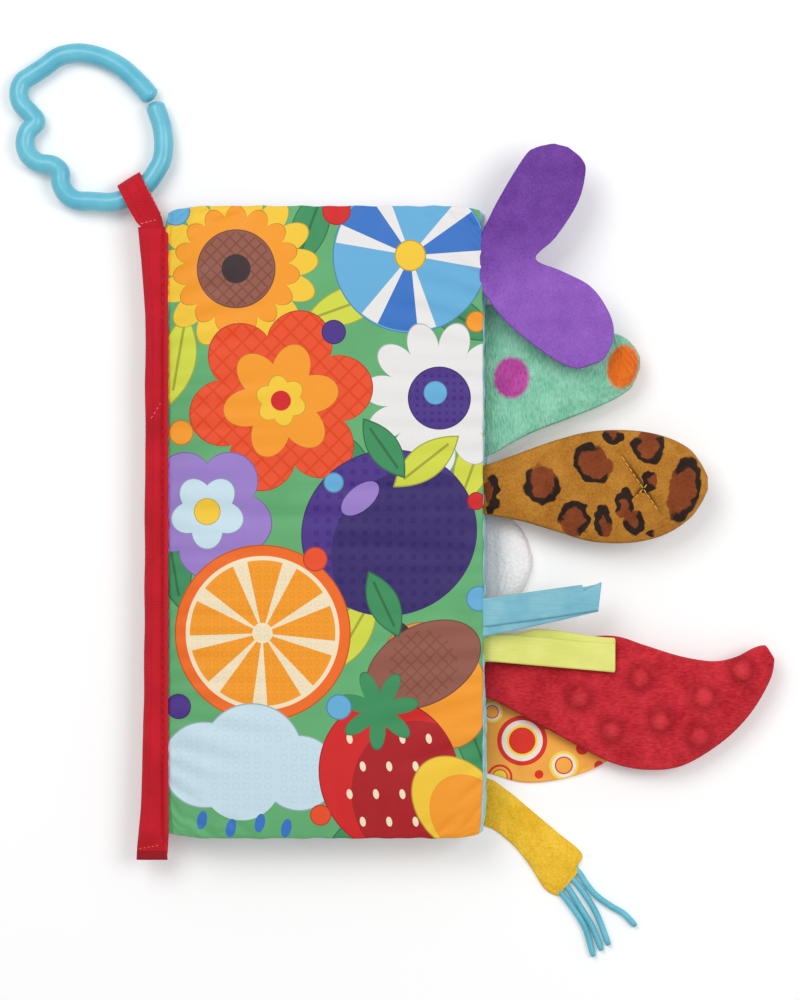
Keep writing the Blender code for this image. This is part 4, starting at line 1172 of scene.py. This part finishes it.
def make_ring():
    _, away, carrier = loop_places()
    shares = np.array(RING_POINT_SHARES)
    flat = (shares - shares[RING_CARRIED_POINT]) * RING_WIDTH
    slope = (carrier[2] - RING_WIRE / 2) / max(flat @ away[:2])
    spots = curve_at(flat, np.linspace(0, 1, 260))
    for end, inner in ((0, 3), (-1, -4)):
        onward = spots[end] - spots[inner]
        spots[end] = spots[end] + onward / np.linalg.norm(onward) * RING_TIP
    # evenly spaced points, and closer ones where the ends are domed
    steps = reach_along(spots)
    length = steps[-1]
    even = np.linspace(0, length, 300)
    even = np.concatenate([RING_END_STEPS,
                           even[(even > RING_DOME) & (even < length - RING_DOME)],
                           (length - RING_END_STEPS)[::-1]])
    spots = np.stack([np.interp(even, steps, spots[:, k]) for k in (0, 1)], 1)
    height = carrier[2] - slope * np.maximum(spots @ away[:2], 0)
    path = np.column_stack([carrier[0] + spots[:, 0], carrier[1] + spots[:, 1], height])
    dome = np.clip(1 - np.minimum(even, length - even) / RING_DOME, 0, 1)
    radii = RING_WIRE / 2 * np.sqrt(np.maximum(1 - dome ** 2, 0.02))
    fin = Finish("ring_moulding", 0.33, Specular_IOR_Level=0.5, Coat_Weight=0.15)
    colour = fin.mix(fin.between(fin.noise(11), 0.35, 0.65), linear(86, 177, 203),
                     linear(104, 190, 210))
    rough = fin.between(fin.noise(3, 3.0), 0.3, 0.7, 0.27, 0.40)
    mat = fin.finish(colour, fin.bump(fin.noise(0.9), 0.06, 0.0002), rough)
    place(tube_object("ring", path, radii, mat, 28), "ring_plastic", ["link_ring"], "link_ring")


# The tails

def tail_root(number, root_y):
    return np.array([edge_x(number) + ROOT_GAP, root_y, leaf_level(number)])


def end_row(row, sign, shorter, further):
    """The row that closes a tail roundly: shorter than its last row and past it."""
    chord = row[1] - row[0]
    middle = (row[0] + row[1]) / 2 + np.array([chord[1], -chord[0]]) * sign * further
    return np.stack([middle - chord / 2 * shorter, middle + chord / 2 * shorter])


def tail_grids(name, columns=120, rows=64, end_share=0.0):
    """Front and back grids of a tail, and how full it is at each point."""
    number, root_y, length, width, crown, table = TAIL_ROWS[name]
    root = tail_root(number, root_y)
    table = np.array(table) * (length, width)
    two_ended = name == "purple_tail"
    round_off = YELLOW_END if name == "yellow_tail" else END_ROUND
    table = np.concatenate([table, end_row(table[-1], 1, *round_off)[None]])
    if two_ended:
        table = np.concatenate([end_row(table[0], -1, *END_ROUND)[None], table])
    t = np.linspace(0, 1, columns)
    u = (1 - np.cos(t * math.pi)) / 2 if two_ended else np.sin(t * math.pi / 2)
    v = (1 - np.cos(np.linspace(0, 1, rows) * math.pi)) / 2
    low = curve_at(table[:, 0], u)[:, None]
    high = curve_at(table[:, 1], u)[:, None]
    flat = low + (high - low) * v[None, :, None]
    if two_ended:
        swell = (1 - np.abs(2 * u - 1) ** 4) ** 0.5
    else:
        rise = 1 - (1 - np.minimum(u / SWELL_PEAK_SHARE, 1)) ** 2
        beyond = np.clip((u - SWELL_PEAK_SHARE) / (1 - SWELL_PEAK_SHARE), 0, 1)
        fall = (1 - beyond ** SWELL_END_POWER) ** SWELL_SHARPNESS
        swell = np.where(u < SWELL_PEAK_SHARE, rise, np.maximum(fall, end_share))
    full = swell[:, None] * (1 - np.abs(2 * v - 1)[None, :] ** SWELL_END_POWER) ** SWELL_SHARPNESS
    out = flat[..., 0]
    x = root[0] + np.maximum(out, 0) - ROOT_TUCK * (1 - ramp(out, 0.0, ROOT_EASE))
    y = root[1] + flat[..., 1]
    thin = np.sqrt(np.clip(full / 0.12, 0, 1)) * 0.75 + 0.25
    middle = root[2]
    base = max(middle - SEAM_HALF, BED_GAP)
    front_z = middle + SEAM_HALF * thin + crown[0] * full
    back_z = middle - (middle - base) * thin - crown[1] * full
    return np.stack([x, y, front_z], 2), np.stack([x, y, back_z], 2), full


def press(grid, full, amount, field):
    """Dents a grid inwards, along its normals, where it is full enough."""
    depth = amount * field * ramp(full, 0.04, 0.55)
    grid[...] = grid - grid_normals(grid) * depth[..., None]


def fluff(faces, full, amount, grain, seed):
    """Tufts of pile: fine dents all over both faces of a tail."""
    for number, (grid, side) in enumerate(zip(faces, SIDES)):
        x, y = grid[..., 0], grid[..., 1]
        field = (ripples(x, y, grain, seed + number, 24) * 0.5
                 + ripples(x, y, grain * 0.55, seed + number + 7, 24) * 0.35)
        press(grid, full, amount * side, np.clip(field * 0.6 + 0.5, 0, 1))


def seam_wrinkles(faces, full, amount, wavelength, seed):
    """Short wrinkles that run in from the seam, as stuffing pulls the fabric tight."""
    band = np.exp(-((full - 0.35) / 0.28) ** 2)
    for number, (grid, side) in enumerate(zip(faces, SIDES)):
        x = grid[..., 0] + grid[..., 1] * 0.2
        field = (ripples(x, x * 0.0, wavelength, seed + number) * 0.5 + 0.5) * band
        press(grid, full, amount * side, field)


def relieve(faces, full, rows, columns, cap):
    """Lays the cloth simulation's wrinkles on a tail, hollows more than folds."""
    ease = ramp(full, 0.04, 0.5)
    for grid, lift, side in zip(faces, cloth_relief(faces, rows, columns, cap), SIDES):
        lift = np.where(lift > 0, lift * 0.5, lift) * ease * side
        grid[...] = grid + grid_normals(grid) * lift[..., None]


def sew_on(piece, name, slot, nodes):
    """Hides the imported nodes of a tail or a ribbon, and joins the orange tail to the book's
    base.
    """
    place(piece, slot, nodes, "book_base" if name == "orange_tail" else None)
    if name != "orange_tail":
        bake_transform(piece)


def make_tail(name, slot, mat, cells=(), rim=0.0002, carve=None, tufts=None,
              wrinkles=None, dents=None, drape=None, cloth=None, wool=None):
    """A tail: its bag with whatever relief it is given, and its stuffing if any.

    Tufts, wrinkles, dents and drape are each a depth, a wavelength and a seed.
    """
    front, back, full = tail_grids(name, *cells)
    faces = (front, back)
    if carve:
        carve(faces, full)
    if tufts:
        fluff(faces, full, *tufts)
    if wrinkles:
        seam_wrinkles(faces, full, *wrinkles)
    if dents:
        press(front, full, dents[0], ripples(front[..., 0], front[..., 1], *dents[1:]) * 0.5 + 0.5)
    if drape:
        for grid in faces:
            grid[..., 2] += (ripples(grid[..., 0], grid[..., 1], *drape[1:]) * drape[0]
                             * np.clip(full, 0, 1))
    if cloth:
        relieve(faces, full, *cloth)
    bag = shell_object(name + "_bag", faces, [mat], rim)
    nodes = [name + "_front", name + "_back"]
    sew_on(bag, name, slot, nodes)
    if wool:
        rows, columns = front.shape[:2]
        cells = (np.linspace(rows * 0.18, rows * 0.78, 22),
                 np.linspace(columns * 0.20, columns * 0.80, 14))
        filling(name + "_fill", name + "_stuffing", faces, cells, (0.5, 0.5), wool,
                "book_base" if name == "orange_tail" else name)
    return front


def make_purple():
    def two_tone(fin, colour, shade):
        light = fin.mix(shade, linear(128, 78, 172), linear(150, 98, 196))
        tilt = fin.weighted((fin.x, 0.42), (fin.y, -1.0))
        return fin.mix(fin.between(tilt, -80, -58), colour, light)

    fleece = plush("purple_fleece_nap", (96, 52, 138), (120, 72, 164), 0.8, strength=0.35,
                   sheen=0.2, paint=two_tone)
    make_tail("purple_tail", "purple_fleece", fleece, rim=0.0001,
              tufts=(0.00012, 0.0022, 60), drape=(0.00025, 0.040, 61))


def make_green(wool):
    def spots(fin, colour, shade):
        wobble = fin.math("MULTIPLY", fin.math("SUBTRACT", fin.noise(1.6), 0.5), 1.6)
        warped = [fin.math("ADD", place, wobble) for place in (fin.x, fin.y)]
        for centre, size, turn, dark, light in (
                ((70.7, 55.1), (6.8, 8.0), 0, (170, 48, 140), (206, 88, 176)),
                ((113.2, 59.3), (6.0, 8.6), -12, (226, 96, 16), (242, 122, 28))):
            far = fin.far(fin.unit(centre, size, turn, warped))
            colour = fin.mix(fin.between(far, 0.88, 1.10, 1.0, 0.0), colour,
                             fin.mix(shade, linear(*dark), linear(*light)))
        return colour

    def ridges(faces, full):
        for grid, side in zip(faces, SIDES):
            x, y = grid[..., 0], grid[..., 1]
            warp = ripples(x, y, 0.030, 62) * 0.0022
            waves = np.sin((x + y * 0.35 + warp) * 2 * math.pi / RIDGE_PITCH) * 0.5 + 0.5
            press(grid, full, RIDGE_DEPTH * side, waves)

    chenille = plush("mint_chenille", (106, 188, 152), (164, 224, 196), 1.0,
                     nap=(1.5, 0.45, 1), strength=0.9, sheen=0.3, paint=spots)
    make_tail("green_tail", "mint_plush", chenille, (130, 90), carve=ridges,
              tufts=(0.00032, 0.0024, 63), wrinkles=(0.0006, 0.009, 64),
              cloth=(46, 40, 0.0009), wool=wool)


def rosettes(fin, colour, shade):
    """The leopard's spots: black broken rings with brown inside, and a painted shadow beside each
    crease.
    """
    fields = (fin.noise(4.5, 1.0), fin.noise(4.5, 1.0, stretch=(1, -1, 1)))
    warped = [fin.math("MULTIPLY_ADD", fin.math("SUBTRACT", field, 0.5), 4.5, place)
              for field, place in zip(fields, (fin.x, fin.y))]
    brown = fin.mix(shade, linear(112, 50, 20), linear(142, 70, 34))
    black = fin.mix(shade, linear(22, 14, 12), linear(48, 32, 26))
    # painted shadow: a dark line half a millimetre to one side of each crease
    for x, y, half, turn in CREASES:
        side = math.radians(turn + 90)
        spot = fin.unit((x + 0.5 * math.cos(side), y + 0.5 * math.sin(side)), (half, 1.1), turn)
        line = fin.between(fin.far(spot), 0.4, 1.0, 0.85, 0.0)
        colour = fin.mix(line, colour, linear(96, 54, 14))
    for x, y, wide, tall, turn, opening in LEOPARD_SPOTS:
        spot = fin.unit((x, y), (wide, tall), turn, warped)
        far = fin.far(spot)
        angle = fin.math("ARCTAN2", spot[1], spot[0])
        away = fin.math("SUBTRACT", angle, math.radians(opening - turn))
        closed = fin.between(fin.math("COSINE", away), 0.52, 0.70, 1.0, 0.0)
        inner = max(0.0, 1 - 2.1 / min(wide, tall))
        ring = fin.math("MULTIPLY", fin.between(far, inner - 0.04, inner + 0.04),
                        fin.between(far, 0.96, 1.04, 1.0, 0.0))
        colour = fin.mix(fin.between(far, 0.86, 0.94, 1.0, 0.0), colour, brown)
        colour = fin.mix(fin.math("MULTIPLY", ring, closed), colour, black)
    return colour


def quilted(faces, full):
    """The dent round the leopard's quilted cross, and the folds along it."""
    for grid, side in zip(faces, SIDES):
        x, y = grid[..., 0] * 1000, grid[..., 1] * 1000
        near = np.exp(-(np.hypot(x - TUFT[0], y - TUFT[1]) / 8.0) ** 2)
        folds = np.zeros_like(x)
        for cx, cy, half, turn in CREASES:
            dx, dy = x - cx, y - cy
            cos, sin = math.cos(math.radians(turn)), math.sin(math.radians(turn))
            across = np.abs(dy * cos - dx * sin)
            along = np.clip(1 - ((dx * cos + dy * sin) / half) ** 2, 0, 1)
            folds = np.maximum(folds, (np.exp(-across / 1.1) + 0.5 * np.exp(-(across / 4) ** 2))
                               * along ** 0.5)
        press(grid, full, QUILT_DEPTH * side, near * 0.4 + folds)


def make_leopard(wool):
    fur = plush("leopard_print_pile", (158, 99, 28), (194, 134, 48), 0.8, strength=0.5,
                sheen=0.2, paint=rosettes)
    front = make_tail("leopard_tail", "leopard_plush", fur, (150, 80), carve=quilted,
                      tufts=(0.00016, 0.0019, 66), wrinkles=(0.0005, 0.010, 67),
                      cloth=(60, 34, 0.0009), wool=wool)
    # the quilting cross, in thread that lies in its folds
    thread = tape_finish("ochre_thread", (206, 146, 44), (240, 188, 80))
    height = grid_height(front)
    for number, (x, y, half, turn) in enumerate(CREASES, start=1):
        reach = np.linspace(-half * 0.8, half * 0.8, 40)
        xs = (x + reach * math.cos(math.radians(turn))) / 1000
        ys = (y + reach * math.sin(math.radians(turn))) / 1000
        path = np.stack([xs, ys, [height(*spot) + 0.0003 for spot in zip(xs, ys)]], 1)
        stitch_row("leopard_quilting_%d" % number, path, (0.0022, 0.0005, 0.00042), thread,
                   "leopard_plush", "leopard_tail")


def make_white(wool):
    fur = plush("white_long_pile", (240, 236, 237), (255, 254, 254), 1.1, strength=0.5,
                sheen=0.4)
    make_tail("white_tail", "white_plush", fur, (70, 90), rim=0.0003,
              tufts=(0.0003, 0.0022, 70), wool=wool)


def make_red(wool):
    def painted_bump_shade(fin, colour, _):
        # painted shade in a ring round each bump, and a painted highlight on its top
        for spot in RED_BUMPS:
            far = fin.far(fin.unit(spot, (1, 1)))
            ring = fin.math("MULTIPLY", fin.between(far, 2.4, 4.2),
                            fin.between(far, 4.4, 8.0, 1.0, 0.0))
            colour = fin.mix(fin.math("MULTIPLY", ring, 0.38), colour, linear(120, 8, 24))
            colour = fin.mix(fin.between(far, 0.5, 3.6, 0.35, 0.0), colour,
                             linear(226, 74, 80))
        return colour

    def bumps(faces, full):
        front = faces[0]
        field = np.zeros(full.shape)
        for x, y in RED_BUMPS:
            far = np.hypot(front[..., 0] - x / 1000, front[..., 1] - y / 1000) / BUMP_RADIUS
            field = np.maximum(field, np.clip(1 - far ** 2, 0, 1) ** 0.8)
        press(front, full, BUMP_HEIGHT, (1 - field) * ramp(full, 0.2, 0.95))

    fur = plush("red_bump_plush", (168, 18, 34), (214, 50, 60), 0.9, nap=(0.45, 1.2, 1),
                strength=0.6, sheen=0.3, paint=painted_bump_shade)
    make_tail("red_tail", "red_plush", fur, (190, 100), carve=bumps,
              tufts=(0.00016, 0.0018, 72), wrinkles=(0.0006, 0.012, 73),
              cloth=(76, 38, 0.0009), wool=wool)


def make_orange(wool):
    red, white = linear(222, 44, 28), linear(244, 232, 222)
    yellow, orange = linear(252, 218, 66), linear(252, 176, 72)
    schemes = ((red, white, yellow, red), (red, orange, red, yellow),
               (yellow, white, red, orange), (red, red, red, red))
    fin = Print("circle_print", orange)
    for x, y, size, scheme in CIRCLES:
        for share, tone in zip((1.0, 0.82, 0.62, 0.53), schemes[scheme]):
            fin.ball(x, y, size * share, tone, line=0)
    make_tail("orange_tail", "circle_satin", fin.done(), (90, 60), rim=0.0001,
              wrinkles=(0.0006, 0.008, 75), dents=(0.0004, 0.018, 76),
              cloth=(40, 30, 0.0005), wool=wool)


def make_yellow(wool):
    fleece = plush("yellow_fleece_nap", (226, 174, 30), (250, 206, 66), 0.9, strength=0.5,
                   sheen=0.3)
    make_tail("yellow_tail", "yellow_fleece", fleece, (90, 50, 0.55),
              tufts=(0.00016, 0.0020, 78), dents=(0.0006, 0.016, 79),
              cloth=(36, 26, 0.0005), wool=wool)


# Ribbons and cords

RIBBON = 0.0005
RIBBON_WIDTH = 0.0108
# leaf, root's place up the page, reach, then where the front and the back layer lie
# across at the root and at the fold, how far the back layer bows up between them, the
# step in the front layer's upper edge, the fold's slant, and what the ribbon rests on
RIBBONS = {
    "teal_ribbon": (3, -0.03648, 0.0440, (0.0022, 0.0083), (-0.0016, 0.0078), 0.0, 0.0026,
                    0.0013, "lime_ribbon_loop"),
    "lime_ribbon": (2, -0.0486, 0.0488, (0.0011, -0.0032), (0.0008, -0.0009), 0.0024, 0.0,
                    0.0, "red_tail_bag"),
}
NOTCH_FROM = 0.855
RIBBON_SEWN = 0.0012
CORD_SIDES = 14
CORD_PINCH = 0.62
CORD_EASE = (0.0012, 0.0036)
CORD_SINK = 0.0006
CORD_WORN = 0.72


def make_ribbon(name, mat):
    number, root_y, reach, front, back, bow, notch, slant, below = RIBBONS[name]
    root = tail_root(number, root_y)
    layer = RIBBON / 2 + LAYER_GAP
    start = -RIBBON_SEWN / reach
    path = []
    for share in np.linspace(start, 1, 60):
        path.append((reach * share, front[0] + (front[1] - front[0]) * share, layer, share))
    for angle in np.linspace(math.pi / 2, -math.pi / 2, 9)[1:-1]:
        middle = (math.sin(angle) + 1) / 2
        path.append((reach + layer * math.cos(angle), back[1] + (front[1] - back[1]) * middle,
                     layer * math.sin(angle), 1.0))
    for share in np.linspace(1, start, 60):
        bowed = bow * float(ramp(share, 0.2, 0.42) * (1 - ramp(share, 0.42, 1)))
        path.append((reach * share, back[0] + (back[1] - back[0]) * share + bowed, -layer,
                     share))
    rows = []
    v = np.linspace(-0.5, 0.5, 15)
    upper = np.clip((v - 0.1) / 0.4, 0, 1)
    for x, y, z, share in path:
        cut = notch * (1 - share) / (1 - NOTCH_FROM) if share > NOTCH_FROM and z >= 0 else 0
        ys = y + v * RIBBON_WIDTH - upper * cut
        root_in = float(ramp(x, -0.0006, 0.0016))
        drape = 0.00012 * np.cos(v * 6 + share * 7) * min(1, max(share, 0) * 4)
        xs = root[0] + x - slant * (0.5 - v) * float(ramp(share, 0.6, 1))
        rows.append(np.stack([xs, root[1] + ys, root[2] + z * root_in + drape], 1))
    ribbon = strip_object(name + "_loop", np.stack(rows)[:, ::-1], RIBBON * 0.8, mat)
    sew_on(ribbon, name, name, [name])


def make_cords():
    mat = satin_finish("teal_rattail", (78, 166, 188), (112, 198, 216))
    for number, route in enumerate(CORD_ROUTES, start=1):
        flat = curve_at(route, np.linspace(0, 1, 24))
        inward = (flat[0] - flat[1]) / np.linalg.norm(flat[0] - flat[1])
        flat = np.vstack([flat[0] + inward * CORD_SEWN, flat])
        path = np.column_stack([flat, np.full(len(flat), CORD_HEIGHT)])
        reach = reach_along(path)
        # the sewn end is pinched and lies lower, and the cut end is a little worn
        free = ramp(reach, *CORD_EASE)
        radii = CORD / 2 * (CORD_PINCH + (1 - CORD_PINCH) * free)
        path[:, 2] -= CORD_SINK * (1 - free)
        radii[-1] *= CORD_WORN
        name = "fringe_cord_%d" % number
        cord = tube_object(name + "_rattail", path, radii, mat, CORD_SIDES)
        place(cord, "teal_cord", [name], "yellow_tail")


# Studio and view

FLOOR_SIZE = 3
FLOOR_LOOK = {"Base Color": (0.93, 0.93, 0.93, 1), "Roughness": 0.9, "Specular IOR Level": 0.0,
              "Emission Color": (1, 1, 1, 1), "Emission Strength": 0.07}
WORLD_LOOK = {"Color": (1, 1, 1, 1), "Strength": 0.50}
# place, size and power
LAMPS = {"key_lamp": ((-0.50, 0.65, 1.25), 0.8, 8.9),
         "fill_lamp": ((0.80, 0.20, 1.2), 0.7, 6.7)}


def dress(node, looks):
    for socket, value in looks.items():
        node.inputs[socket].default_value = value


def make_camera(scene):
    """The photo's view, from straight above the book."""
    camera = bpy.data.cameras.new("photo_camera")
    camera.sensor_width = SENSOR
    camera.lens = SENSOR * (CAMERA_RISE - VIEW_LEVEL) / VIEW_HEIGHT
    camera.clip_start = 0.05
    camera.clip_end = 20
    holder = bpy.data.objects.new("photo_camera", camera)
    holder.location = (VIEW_X, VIEW_Y, CAMERA_RISE)
    scene.collection.objects.link(holder)
    scene.camera = holder


def make_studio():
    """Pale floor, soft lamps overhead and a plain pale world."""
    scene = bpy.context.scene
    scene.view_settings.view_transform = "Standard"
    make_camera(scene)
    floor_mat = bpy.data.materials.new("pale_floor")
    floor_mat.use_nodes = True
    dress(floor_mat.node_tree.nodes["Principled BSDF"], FLOOR_LOOK)
    corners = [(x * FLOOR_SIZE, y * FLOOR_SIZE, 0)
               for x, y in ((-1, -1), (1, -1), (1, 1), (-1, 1))]
    mesh_object("floor", corners, [(0, 1, 2, 3)], [floor_mat])
    scene.world = bpy.data.worlds.new("studio")
    scene.world.use_nodes = True
    dress(scene.world.node_tree.nodes["Background"], WORLD_LOOK)
    for name, (spot, size, power) in LAMPS.items():
        lamp = bpy.data.lights.new(name, "AREA")
        lamp.energy = power
        lamp.size = size
        holder = bpy.data.objects.new(name, lamp)
        holder.location = spot
        aim = -np.array(spot)
        holder.rotation_euler = (math.atan2(math.hypot(aim[0], aim[1]), -aim[2]), 0,
                                 math.atan2(aim[0], -aim[1]) + math.pi)
        scene.collection.objects.link(holder)


make_studio()
make_cords()
wool = plush("stuffing_fibre", (220, 220, 216), (248, 248, 244), 1.0)
make_leaves()
red = tape_finish("red_tape_weave", (172, 6, 26), (206, 22, 42))
pale = tape_finish("pale_thread", (222, 104, 104), (236, 142, 136))
make_spine(red, pale)
make_loop(red, pale)
make_ring()
make_purple()
make_green(wool)
make_leopard(wool)
make_white(wool)
make_red(wool)
make_orange(wool)
make_yellow(wool)
make_ribbon("teal_ribbon", satin_finish("teal_satin", (96, 168, 190), (136, 192, 204)))
make_ribbon("lime_ribbon", satin_finish("lime_satin", (212, 216, 102), (228, 228, 126)))
